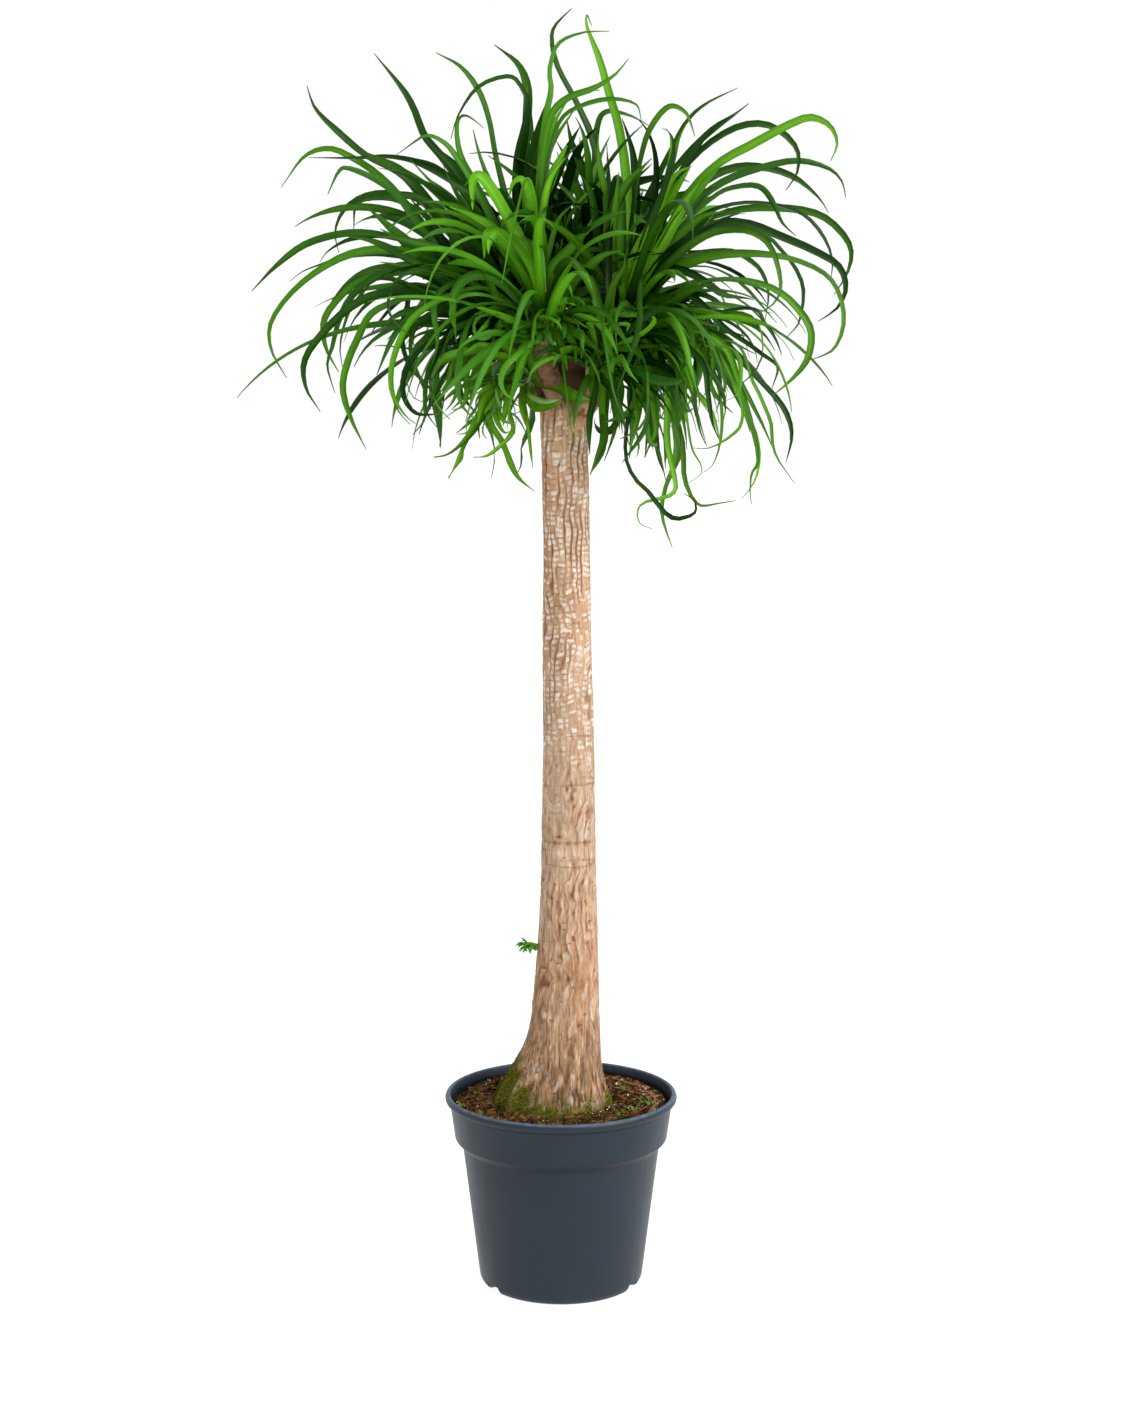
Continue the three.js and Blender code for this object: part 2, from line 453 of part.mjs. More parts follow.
// Stations along a line, evenly by length and bend; u is the part of the length run so far.
function stations(line, count, weight = 0) {
  const length = lineRun(line);
  const run = lineRun(line, weight);
  const out = [];
  let k = 1;
  for (let i = 0; i <= count; i += 1) {
    const s = (run.at(-1) * i) / count;
    while (k < line.length - 1 && run[k] < s) k += 1;
    const part = (s - run[k - 1]) / (run[k] - run[k - 1]);
    out.push({
      p: mix(line[k - 1], line[k], part),
      u: (length[k - 1] + (length[k] - length[k - 1]) * part) / length.at(-1),
    });
  }
  return out;
}

// Line of a leaf that was read: smooth through its points, from the head to the tip.
function readLine(route, depth) {
  const [head, , , , ...flat] = route;
  const root = growPoint(head);
  const pairs = [];
  for (let i = flat.length - 2; i >= 0; i -= 2) pairs.push([flat[i], flat[i + 1]]);
  const zoom = -EYE[1] / (root[1] - EYE[1]);
  const start = [root[0] * zoom, EYE[2] + (root[2] - EYE[2]) * zoom];
  const first = pairs[0];
  if (head !== 'shoot' && first[1] < start[1] + 20) {
    pairs.unshift([start[0] + (first[0] - start[0]) * 0.55,
      start[1] + 22 + 0.2 * Math.abs(first[0] - start[0])]);
  }
  const flatRun = [0];
  [start, ...pairs].forEach((p, i, all) => {
    if (i > 0) flatRun.push(flatRun[i - 1] + Math.hypot(p[0] - all[i - 1][0], p[1] - all[i - 1][1]));
  });
  const total = flatRun.at(-1);
  const points = [root, ...pairs.map(([x, z], i) => {
    const y = root[1] + ((depth - root[1]) * flatRun[i + 1]) / total;
    return seen(x, z, y);
  })];
  const [dx, dy, dz] = sub(points[1], root);
  points[0] = rootPoint(head, Math.atan2(dz, Math.hypot(dx, dy)) / RAD, Math.atan2(dy, dx));
  const curve = new THREE.CatmullRomCurve3(
    points.map((p) => new THREE.Vector3(...p)), false, 'catmullrom', 0.5);
  return curve.getPoints(10 * (points.length - 1)).map((p) => [p.x, p.y, p.z]);
}

// Leaf made by rule: leaves the root at one rise and turn, bends over to another.
function ruleLine(root, draw) {
  const steps = 30;
  const line = [root];
  const turns = [];
  for (let i = 0; i < steps; i += 1) {
    const u = (i + 0.5) / steps;
    const rise = (draw.rise + (draw.fall - draw.rise) * u ** draw.ease) * RAD;
    const turn = (draw.turn + draw.sweep * u * u) * RAD;
    turns.push(turn);
    line.push(add(line[i], [Math.cos(rise) * Math.cos(turn), Math.cos(rise) * Math.sin(turn),
      Math.sin(rise)], draw.length / steps));
  }
  return { line, turns };
}

// Width along a leaf: narrower where it clasps the core, long tapered tip.
const bladeWidth = (u) => (0.2 + 0.8 * Math.max(0, 1 - u) ** 0.7) * (0.6 + 0.4 * Math.min(1, u / 0.14));

// Ways, width axes and widths at the stations of a leaf.
function frames(leaf, count, weight) {
  const all = stations(leaf.line, count, weight);
  return all.map(({ p, u }, i) => {
    const way = unit(sub(all[Math.min(i + 1, count)].p, all[Math.max(i - 1, 0)].p));
    const roll = (leaf.roll + leaf.twist * u) * RAD;
    let level = [0, -leaf.sign, 0];
    if (leaf.turns) {
      const turn = leaf.turns[Math.min(leaf.turns.length - 1, Math.floor(u * leaf.turns.length))];
      level = [-Math.sin(turn), Math.cos(turn), 0];
    }
    const across = unit(add(level, way, -dot(level, way)));
    const side = add(across.map((c) => c * Math.cos(roll)), cross(way, across), Math.sin(roll));
    return { p, way, side, width: Math.max(2, leaf.width * bladeWidth(u)) };
  });
}

// Blade: flat above, keeled below, three corners to a station, more stations where it bends.
function blade(leaf) {
  const bend = lineRun(leaf.line, 1).at(-1) - lineRun(leaf.line).at(-1);
  const count = Math.max(4, Math.min(8, Math.round(2.2 + bend / BEND_STEP)));
  return skin(frames(leaf, count, BEND_WEIGHT).map(({ p, way, side, width }) => {
    const up = cross(side, way);
    return [add(p, side, width / 2), add(p, up, -(1 + 0.055 * width)), add(p, side, -width / 2)];
  }));
}

// Points that stand for a blade when room is looked for.
function feelers(leaf) {
  const count = Math.ceil(lineRun(leaf.line).at(-1) / FEELER_STEP);
  return frames(leaf, count).flatMap(({ p, side, width }) => [-0.5, -0.25, 0, 0.25, 0.5].map(
    (k) => add(p, side, k * width)));
}

// Everything that stands already, in cells of one clearance.
class Room {
  constructor() { this.cells = new Map(); }
  static key(p, i = 0, j = 0, k = 0) {
    const s = CROSS_CLEAR;
    return `${Math.floor(p[0] / s) + i},${Math.floor(p[1] / s) + j},${Math.floor(p[2] / s) + k}`;
  }
  add(owner, points) {
    for (const p of points) {
      const key = Room.key(p);
      if (!this.cells.has(key)) this.cells.set(key, []);
      this.cells.get(key).push({ owner, p });
    }
  }
  blocked(owner, root, points, own) {
    for (const p of points) {
      const away = Math.sqrt(dot(sub(p, root), sub(p, root)));
      if (away < 24) continue;
      for (let i = -1; i <= 1; i += 1) {
        for (let j = -1; j <= 1; j += 1) {
          for (let k = -1; k <= 1; k += 1) {
            for (const other of this.cells.get(Room.key(p, i, j, k)) ?? []) {
              const d = sub(p, other.p);
              const same = other.owner === owner;
              if (same && away < own.bundle) continue;
              const clear = same ? own.clear : CROSS_CLEAR;
              if (dot(d, d) < clear * clear) return true;
            }
          }
        }
      }
    }
    return false;
  }
}

function woodFeelers() {
  const points = [];
  for (const row of TRUNK_SECTIONS.filter((r) => r[0] > 1100)) points.push(...trunkRing(row, 0));
  for (let z = 1050; z < TRUNK_TOP; z += 6) points.push(...trunkRing([z, 5.5, 33.5, 33], 0));
  for (const head of [...Object.values(HEADS), SHOOT]) {
    for (const { p } of stations(stubPath(head), 14)) {
      for (const r of [0.6, 1]) {
        for (let j = 0; j < 12; j += 1) {
          const a = (TURN * j) / 12;
          points.push(add(p, [Math.cos(a), Math.sin(a), 0], head.radius * r));
        }
      }
    }
  }
  return points;
}

function coreProfile(name) {
  if (name === 'shoot') return [[8, 0], [9, 8], [7, 20], [3, SHOOT.height]];
  return [[14, 0], [17, 10], [17, 22], [13, 36], [5, CORE_HEIGHT]];
}

function makeCore(name) {
  const at = name === 'shoot' ? SHOOT : HEADS[name];
  return skin(coreProfile(name).map(([r, h]) => circle(r, h, 12).map(
    (p) => add(p, [at.x, at.y, at.z + GAP]))));
}

function growLeaves() {
  const room = new Room();
  room.add('wood', woodFeelers());
  const leaves = [];
  for (const name of [...Object.keys(HEADS), 'shoot']) {
    const at = name === 'shoot' ? SHOOT : HEADS[name];
    room.add(name, coreProfile(name).flatMap(([r, h]) => circle(r, h, 16).map(
      (p) => add(p, [at.x, at.y, at.z]))));
  }
  const random = seeded(29);
  for (const route of LONG_LEAVES) {
    const [head, width, depth, roll] = route;
    const sign = route[4] >= growPoint(head)[0] ? 1 : -1;
    const twist = sign * Math.sign(roll) * (14 + 34 * random());
    for (const shift of DEPTH_TRIES) {
      const leaf = {
        head, width, sign, twist, roll: roll * sign, line: readLine(route, depth + shift),
      };
      const points = feelers(leaf);
      if (room.blocked(head, growPoint(head), points, READ_ROOM)) continue;
      room.add(head, points);
      leaves.push(leaf);
      break;
    }
  }
  for (const rule of RULE_LEAVES) {
    const root = growPoint(rule.head);
    const pick = ([low, high]) => low + (high - low) * random();
    for (let n = 0, made = 0; made < rule.count && n < rule.count * 30; n += 1) {
      const draw = {
        length: pick(rule.length), rise: pick(rule.rise), fall: pick(rule.fall),
        ease: pick([0.8, 1.6]), turn: pick(rule.turn), sweep: pick([-22, 22]),
      };
      const { line, turns } = ruleLine(rootPoint(rule.head, draw.rise, draw.turn * RAD), draw);
      const leaf = {
        head: rule.head, width: pick(rule.width), twist: pick([-64, 64]), roll: pick([-25, 25]),
        line, turns,
      };
      const points = feelers(leaf);
      if (room.blocked(rule.head, root, points, RULE_ROOM)) continue;
      room.add(rule.head, points);
      leaves.push(leaf);
      made += 1;
    }
  }
  return leaves;
}

// Little curled leaves of the sprout on the trunk, all from one bud.
function makeSprout() {
  const root = [SPROUT.face - GAP, SPROUT.y, SPROUT.z];
  const r = SPROUT.radius;
  const core = rod([root, add(root, [-6, 0, 0]), add(root, [-11, 0, 3])], [r - 0.5, r - 0.4, 1.6], 8);
  const heart = add(root, [-6.5, 0, 2]);
  const curls = [[178, 50, -60, 22, 5], [205, 20, -80, 18, 5], [150, 35, -70, 20, 5],
    [230, -5, -70, 16, 4], [170, 75, 10, 16, 4]];
  const leaves = curls.map(([turn, rise, fall, length, width]) => {
    const { line, turns } = ruleLine(heart, { turn, rise, fall, length, ease: 1, sweep: 10 });
    return blade({ line, turns, width, roll: 0, twist: 20 });
  });
  return fuse([core, ...leaves]);
}

// ---------------------------------------------------------------- the parts
const group = new THREE.Group();
group.name = 'potted_ponytail_palm';

function place(name, made, color, roughness, metalness = 0) {
  const { vertProperties, triVerts } = made.getMesh();
  const geometry = new THREE.BufferGeometry();
  geometry.setAttribute('position', new THREE.Float32BufferAttribute(vertProperties, 3));
  geometry.setIndex(Array.from(triVerts));
  geometry.computeVertexNormals();
  const mesh = new THREE.Mesh(geometry, new THREE.MeshStandardMaterial({ color, roughness, metalness }));
  mesh.name = name;
  group.add(mesh);
}

place('pot', makePot(), '#3c4650', 0.5);
place('soil', makeSoil(), '#4a3022', 1);
place('trunk', makeTrunk(), '#b08a6a', 0.9);

const leaves = growLeaves();
const GREENS = {
  front: '#3c8f20', right: '#358519', low_right: '#2f7d22', left: '#2f7a1c',
  back_left: '#24661a', back_right: '#27691b', shoot: '#52a32c',
};
for (const [name, color] of Object.entries(GREENS)) {
  const blades = leaves.filter((leaf) => leaf.head === name).map(blade);
  const node = name === 'shoot' ? 'side_shoot' : `head_${name}`;
  place(node, fuse([makeCore(name), ...blades]), color, 0.45);
}
place('trunk_sprout', makeSprout(), '#6aa336', 0.5);

export default group;
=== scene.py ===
"""Ponytail palm in a nursery pot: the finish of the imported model.

Every piece is a surface worked out with numpy and laid where its solid stands, and every material
is a node tree on the piece's own coordinates. The plant is grown in millimetres, by the same leaf
routes and the same seeded rule as its solids, and turned to metres where a mesh is made.
"""

import functools
import math

import bpy
import mathutils
import numpy as np
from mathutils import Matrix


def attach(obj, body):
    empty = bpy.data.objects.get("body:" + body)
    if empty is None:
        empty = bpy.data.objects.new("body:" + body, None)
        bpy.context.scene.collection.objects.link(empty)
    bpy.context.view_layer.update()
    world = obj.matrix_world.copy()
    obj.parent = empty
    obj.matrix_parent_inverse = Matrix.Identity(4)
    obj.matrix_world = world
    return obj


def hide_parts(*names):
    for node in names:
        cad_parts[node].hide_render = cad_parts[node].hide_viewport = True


bl_info = {
    "name": "Potted ponytail palm",
    "version": (1, 0, 0),
    "blender": (4, 5, 0),
    "location": "3D View > Sidebar > Palm",
    "description": "Builds the finished pot, soil, trunk and leaves over the packed model",
    "category": "Object",
}

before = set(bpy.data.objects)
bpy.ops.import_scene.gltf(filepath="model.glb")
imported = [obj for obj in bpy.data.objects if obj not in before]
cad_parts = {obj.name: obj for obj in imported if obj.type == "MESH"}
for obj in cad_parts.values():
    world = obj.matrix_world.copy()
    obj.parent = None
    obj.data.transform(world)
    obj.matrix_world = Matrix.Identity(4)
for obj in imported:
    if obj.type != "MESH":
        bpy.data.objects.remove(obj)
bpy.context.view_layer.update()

MM = 0.001
RAD = math.pi / 180
TURN = 2 * math.pi
BODY = "root"

# ---------- sizes, mm, as in the solids
POT_HEIGHT = 284
BODY_FOOT = 120.3
BODY_TOP = 144.4
COLLAR_FOOT = 155.4
COLLAR_TOP = 163
RIM_RADIUS = 170
WALL = 2.6
FLOOR = 3
NOTCH_WIDTH = 37
NOTCH_HEIGHT = 12
NOTCH_DEPTH = 22
NOTCH_TURNS = (213, 333, 93)
NOTCH_SLANT = 4
NOTCH_WALL_REACH = (113.2, 119.2)
NOTCH_CUT_REACH = (126, 126)
DRAIN_RADIUS = 4
DRAIN_RING = BODY_FOOT - NOTCH_DEPTH / 2 - 2
SOIL_TOP = 266
SOIL_TILT = 0.035
SOIL_LUMP = 4
SOIL_RADIUS = 156.6
TRUNK_TOP = 1338
GAP = 0.3

HEADS = {
    "front": dict(at=(-25, -52, 1368), start=(-4, -14, 1296), radius=15),
    "right": dict(at=(84, -22, 1366), start=(22, -4, 1282), radius=16),
    "low_right": dict(at=(50, -64, 1312), start=(14, -16, 1256), radius=12),
    "back_right": dict(at=(51, 56, 1372), start=(16, 12, 1290), radius=15),
    "back_left": dict(at=(-34, 56, 1374), start=(-6, 12, 1290), radius=15),
    "left": dict(at=(-68, 8, 1362), start=(-8, 2, 1284), radius=14),
    "shoot": dict(at=(-46, -24, 1306), start=(-8, -10, 1276), radius=8),
}
CORE_PROFILE = ((14, 0), (17, 10), (17, 22), (13, 36), (5, 46))
SHOOT_PROFILE = ((8, 0), (9, 8), (7, 20), (3, 30))
SPROUT = dict(face=-41, y=-6, z=502, radius=4)
EYE_BACK = 3566.5
EYE_HEIGHT = 1334.3
EYE_TILT = 7.54
IMAGE_HEIGHT = 1402
FOCAL_PIXELS = 2500.24

# Height, middle across, half width across, half depth of the trunk.
TRUNK_SECTIONS = np.array([
    (200, -8, 58, 46), (214, -11, 72, 56), (236, -13, 82, 62), (256, -13, 86, 64),
    (274, -12.5, 85, 62), (286, -11.5, 80, 59), (301, -9.5, 73.5, 56.5), (323, -4.8, 65, 53.5),
    (346, 0.4, 58.6, 51.5), (376, 5.5, 52.3, 49.5), (421, 7.7, 48.6, 47), (496, 9.8, 44.1, 43),
    (570, 10.5, 41.1, 40), (644, 10.9, 39.1, 38.5), (718, 10.8, 38.3, 37.5), (791, 10.8, 36.8, 36.5),
    (864, 10.4, 36.3, 36), (936, 9.3, 35.1, 35), (1008, 8.6, 34.3, 34), (1065, 8.2, 33.2, 33),
    (1151, 6.4, 33.5, 33), (1222, 5, 33.3, 33), (1264, 4.3, 34, 33), (1300, 4.5, 34.5, 33),
    (1324, 5, 33, 31), (TRUNK_TOP, 5, 25, 24)])
TRUNK_SIDES = 22
TRUNK_Y = 2
RIBS = 11
RIB_DEPTH = 0.028


def routes(text):
    """Rows of whole numbers as tuples that start with the head's name above them. From the fifth
    on, every second number is a height above 1 m."""
    out = []
    for row in text.strip().splitlines():
        if row[-1].isalpha():
            head = row
        else:
            numbers = [int(word) for word in row.split()]
            numbers[4::2] = [1000 + height for height in numbers[4::2]]
            out.append((head, *numbers))
    return out


# Long leaves read one by one, under their head's name: width, depth of the tip (behind the axis is
# plus), roll of the blade in degrees, then x and z from the tip back to the head.
LONG_LEAVES = routes("""
right
19 -50 68 153 584 140 562 127 534 108 470
18 -88 60 179 568 160 540 138 498 112 450
18 -120 62 210 547 188 528 165 500 128 448
16 -90 66 107 265 108 310 107 365 100 390
front
20 -96 66 -135 590 -118 606 -100 592 -70 540 -45 455
20 -130 62 -108 490 -105 522 -90 522 -60 475 -38 440
18 -70 60 -56 598 -52 578 -41 521 -32 450
14 -84 62 -35 328 -45 345 -51 385 -47 404
shoot
12 -62 -50 40 305 14 300 -13 313 -44 326
9 -56 -50 -2 293 -24 290 -47 300
9 -66 40 -37 163 -60 181 -73 202 -81 227 -90 245 -102 257 -111 270 -105 289 -87 306
8 -48 45 -124 211 -105 214 -87 227 -71 242 -68 255 -72 277
7 -58 40 -40 196 -45 236 -49 272 -54 296
9 -80 45 -180 211 -162 215 -143 228 -124 247 -110 270 -90 300
9 -40 45 -160 181 -149 202 -140 223 -117 273 -92 306
10 -56 50 -155 279 -143 290 -128 306 -100 320
8 -34 45 -149 245 -115 273 -88 306
left
16 0 38 -436 444 -400 480 -355 511 -293 525 -232 517 -170 490
16 -70 36 -388 323 -409 363 -408 402 -375 446 -326 482 -281 499 -230 500 -170 480
15 -46 40 -341 276 -361 310 -361 351 -327 396 -283 431 -238 443 -197 437 -150 421
14 -112 38 -277 223 -299 269 -309 310 -301 347 -286 380 -269 411 -240 427 -205 435 -150 425
14 30 -40 -320 302 -330 340 -322 368 -314 400 -300 430 -275 455 -240 470 -180 464
15 66 36 -314 331 -332 365 -335 400 -320 427 -288 456 -249 472 -200 475
13 -20 -38 -327 578 -311 610 -296 614 -262 600 -229 576 -199 535
14 40 38 -392 588 -359 630 -324 641 -291 628 -255 604 -211 557
12 60 36 -382 458 -365 471 -345 479 -304 491 -240 494 -180 476
12 96 38 -339 485 -326 501 -293 517 -240 520 -180 494
12 -134 40 -175 272 -205 273 -222 296 -222 325 -205 355 -175 380 -140 398
12 -92 40 -215 384 -237 405 -243 430 -232 458 -205 470 -150 456
12 -60 44 -176 254 -190 275 -192 305 -204 335 -212 365 -200 400 -150 414
12 -96 42 -190 314 -183 334 -172 356 -160 380 -130 400
11 -40 42 -186 279 -172 310 -158 340 -142 372 -116 396
back_left
17 70 36 -354 727 -342 695 -307 660 -271 630 -220 600 -170 537
15 40 34 -353 629 -287 628 -245 630 -206 624 -169 610 -120 560
15 24 40 -260 771 -221 723 -205 695 -190 658 -165 628 -125 570
14 96 38 -312 497 -317 527 -303 558 -272 577 -231 578 -180 556
13 126 -38 -291 527 -287 564 -258 574 -219 566 -160 524
13 160 38 -246 525 -228 545 -205 562 -175 566 -125 530
20 50 60 -93 783 -60 757 -47 724 -48 680 -52 620 -48 530
16 104 44 -174 772 -140 753 -115 720 -101 680 -92 630 -75 560
9 30 40 -154 654 -143 688 -115 726 -74 740 -55 725 -44 690 -38 600
front
14 -60 40 -231 632 -205 650 -187 659 -165 650 -147 630 -110 570
15 -50 -42 67 801 30 799 -3 784 -15 750 -13 722 -20 685 -28 600
14 -40 40 94 764 75 742 46 724 10 711 -12 690 -22 650 -28 580
13 -84 40 112 680 104 702 70 709 30 700 0 680 -16 630 -26 540
13 -50 44 -107 669 -130 686 -143 682 -146 660 -138 625 -108 570
14 -108 64 8 630 -8 612 -20 585 -28 520
12 -150 40 -205 258 -222 272 -238 300 -240 335 -228 375 -205 410 -160 436 -100 446
13 -96 58 60 330 52 365 53 400 50 440 35 470 10 480
7 -118 50 -83 456 -72 510 -60 560 -49 599 -38 580 -32 500
right
16 -12 44 43 808 36 823 36 806 53 764 67 716 82 664 92 580
13 -96 64 71 350 68 420 68 500 72 580 80 600 86 560
14 -44 42 187 658 175 689 152 699 130 677 115 640 102 560
12 -74 44 146 669 156 655 156 630 142 580 112 500
17 -40 38 355 349 385 364 398 400 391 441 368 470 318 490 260 496 200 490 145 464
16 -96 38 300 299 327 322 348 350 353 385 340 412 310 441 270 457 220 460 160 448
15 -10 38 362 402 390 422 401 450 390 480 355 501 310 520 260 538 210 535 150 490
17 -66 46 377 624 386 648 376 672 350 684 320 675 264 645 223 622 180 580 135 500
14 -120 -40 330 521 310 540 298 566 279 588 250 589 215 575 160 520
13 -150 40 278 413 300 428 309 452 300 493 283 518 250 530 200 520 140 470
14 -70 42 319 203 327 235 324 262 308 291 270 330 235 365
12 -126 42 298 307 306 338 287 354 262 372 232 392
12 -30 42 312 355 304 375 288 398 255 420
back_right
16 66 40 15 832 -9 808 -13 785 -4 750 24 698 48 638 60 540
13 96 42 124 672 102 684 83 690 65 692 53 680 48 640 50 540
15 60 38 385 440 403 470 408 500 394 526 363 550 316 559 250 557 190 535 120 480
14 30 38 380 462 381 490 367 522 340 550 300 564 250 566 200 550 140 505
14 96 -38 399 574 393 597 373 615 330 625 279 615 228 596 180 560 110 490
16 130 40 375 553 361 574 328 601 287 615 242 615 195 592 120 520
15 70 40 315 584 331 610 329 642 300 669 265 675 225 660 180 622 110 530
15 40 42 262 703 245 690 205 661 165 620 105 540
14 14 40 246 724 202 702 175 677 155 640 125 580 90 510
13 160 38 318 380 336 402 341 445 330 475 310 500 285 522 230 536 150 500
12 190 40 287 400 292 435 287 461 270 484 230 500 150 480
low_right
15 -90 44 159 83 146 118 143 145 152 182 167 213 163 250 168 290 162 345
12 -120 44 132 109 112 118 109 137 121 149 153 157 163 170 158 195 150 240 148 330
12 -64 44 175 160 190 150 190 132 165 124 146 134 126 160 103 183 91 215 94 268 108 350
13 -62 66 41 188 51 203 59 221 61 238 59 269 59 310 66 366
13 -50 42 148 186 140 207 136 232 132 269 128 320
10 -30 44 119 211 122 240 124 280 122 340
12 -70 44 205 230 196 252 190 285 182 340
11 -104 44 225 235 214 262 208 300 196 350
12 -140 42 184 225 207 224 225 231 244 244 255 258 256 285 238 330 190 385
12 -10 42 202 190 217 203 227 240 226 290 206 350
14 -60 42 257 153 269 167 278 186 281 211 277 238 267 263 250 305 215 370
13 -100 42 332 175 308 209 300 232 298 258 290 279 272 316 230 376
8 -132 44 180 174 199 188 198 203 186 224 178 270 170 340
""")

# Leaves made by rule, in the order that they are grown: head, how many, the turn that they fan
# over, and the spans of length, width, rise at the root and rise at the tip.
OUTER = ((270, 440), (13, 19), (6, 76), (-86, -12))
UPRIGHT = ((200, 350), (14, 20), (62, 88), (-30, 55))
SKIRT = ((110, 230), (9, 13), (-15, 40), (-88, -66))
YOUNG = ((60, 135), (8, 12), (-5, 65), (-80, -15))
RULE_LEAVES = [
    ("front", 9, (205, 290), OUTER), ("right", 6, (288, 362), OUTER), ("left", 4, (150, 205), OUTER),
    ("back_left", 12, (78, 150), OUTER), ("back_right", 12, (2, 78), OUTER),
    ("front", 7, (180, 380), UPRIGHT), ("right", 6, (120, 340), UPRIGHT),
    ("back_left", 9, (0, 220), UPRIGHT), ("back_right", 9, (0, 200), UPRIGHT),
    ("left", 4, (90, 270), UPRIGHT), ("front", 6, (190, 330), SKIRT),
    ("low_right", 9, (250, 380), SKIRT), ("left", 5, (140, 215), SKIRT),
    ("back_left", 5, (70, 170), SKIRT), ("back_right", 5, (-10, 100), SKIRT),
    ("shoot", 12, (165, 262), YOUNG),
]
# Seed of the leaves that the solids hold, and the span of a read leaf's twist in degrees.
LEAF_SEED = 29
READ_TWIST = (14, 48)
# Room about a leaf: to other heads, and within a head the clearance and where it starts to count.
CROSS_CLEAR = 7
READ_ROOM = (3.2, 60)
RULE_ROOM = (4.2, 45)
# A leaf needs no room this near its root.
CORE_REACH = 24
# Steps of a leaf by rule, spacing of the points that feel for room, and shifts in depth to try.
RULE_STEPS = 30
FEELER_STEP = 6
DEPTH_TRIES = (0, 12, -12, 24, -24, 38, -38, 52, -52, 68, -68, 86, -86, 106, -106, 128, -128)


# ---------- growing the leaves
class Seeded:
    """The plant's own generator: a 32-bit state stirred by shifts and products, read as 0 to 1."""

    def __init__(self, seed):
        self.state = seed & 0xFFFFFFFF

    def __call__(self):
        self.state = (self.state + 0x6D2B79F5) & 0xFFFFFFFF
        t = self.state
        t = ((t ^ (t >> 15)) * (t | 1)) & 0xFFFFFFFF
        t ^= (t + (((t ^ (t >> 7)) * (t | 61)) & 0xFFFFFFFF)) & 0xFFFFFFFF
        return ((t ^ (t >> 14)) & 0xFFFFFFFF) / 4294967296

    def pick(self, span):
        """A number within the span."""
        return span[0] + (span[1] - span[0]) * self()


def unit(a):
    """Ways of length 1."""
    return a / np.sqrt((a * a).sum(-1, keepdims=True))


def ring_of(radius, height, sides):
    """Circle of points about the axis: radius times cosine and sine of even turns, one height."""
    a = TURN * np.arange(sides) / sides
    return np.stack([radius * np.cos(a), radius * np.sin(a), np.full(sides, float(height))], 1)


def grow_point(name):
    """Middle of the leaf bases of a head."""
    x, y, z = HEADS[name]["at"]
    return np.array([x, y, z + (20 if name == "shoot" else 26)], float)


def root_point(name, rise, turn):
    """Where a leaf leaves its core: steep leaves from the top, low ones from the foot."""
    out, low, high = (2, -8, 6) if name == "shoot" else (7, -16, 14)
    k = max(0, min(1, rise / 80))
    return grow_point(name) + [out * math.cos(turn), out * math.sin(turn), low + (high - low) * k]


def smooth_line(points, steps=10):
    """Uniform Catmull-Rom spans through the points, each in so many steps: a cubic that runs at
    each point the way that its two neighbours lie."""
    padded = np.vstack([2 * points[0] - points[1], points, 2 * points[-1] - points[-2]])
    spans = len(points) - 1
    t = (np.arange(steps * spans + 1) / (steps * spans)) * spans
    i = np.minimum(t.astype(int), spans - 1)
    w = (t - i)[:, None]
    p0, p1, p2, p3 = padded[i], padded[i + 1], padded[i + 2], padded[i + 3]
    m1, m2 = 0.5 * (p2 - p0), 0.5 * (p3 - p1)
    return p1 + m1 * w + (-3 * p1 + 3 * p2 - 2 * m1 - m2) * w ** 2 + (2 * p1 - 2 * p2 + m1 + m2) * w ** 3


def read_line(route, depth):
    """Smooth line through a read leaf: each x and z is pushed along its line of sight to a depth
    that grows evenly from the head to the tip."""
    head, flat = route[0], route[4:]
    root = grow_point(head)
    pairs = np.array(flat, float).reshape(-1, 2)[::-1]
    zoom = EYE_BACK / (root[1] + EYE_BACK)
    start = np.array([root[0] * zoom, EYE_HEIGHT + (root[2] - EYE_HEIGHT) * zoom])
    if head != "shoot" and pairs[0, 1] < start[1] + 20:
        reach = pairs[0, 0] - start[0]
        pairs = np.vstack([[start[0] + reach * 0.55, start[1] + 22 + 0.2 * abs(reach)], pairs])
    steps = np.diff(np.vstack([start, pairs]), axis=0)
    run = np.cumsum(np.hypot(steps[:, 0], steps[:, 1]))
    y = root[1] + (depth - root[1]) * run / run[-1]
    k = (y + EYE_BACK) / EYE_BACK
    points = np.stack([pairs[:, 0] * k, y, EYE_HEIGHT + (pairs[:, 1] - EYE_HEIGHT) * k], 1)
    dx, dy, dz = points[0] - root
    first = root_point(head, math.atan2(dz, math.hypot(dx, dy)) / RAD, math.atan2(dy, dx))
    points = np.vstack([first, points])
    return smooth_line(points)


def rule_line(root, length, rise, fall, ease, turn, sweep, curl=0, phase=0):
    """Leaf that leaves the root at one rise and turn and bends over to another, in even steps.
    A curl in degrees swings both as a sine and a cosine that grow from the root to the tip."""
    u = (np.arange(RULE_STEPS) + 0.5) / RULE_STEPS
    rises = (rise + (fall - rise) * u ** ease + curl * u * np.sin(phase + 7 * u)) * RAD
    turns = (turn + sweep * u * u + 1.3 * curl * u * np.cos(phase + 7 * u)) * RAD
    ways = np.stack([np.cos(rises) * np.cos(turns), np.cos(rises) * np.sin(turns), np.sin(rises)], 1)
    return np.cumsum(np.vstack([root, ways * (length / RULE_STEPS)]), axis=0), turns


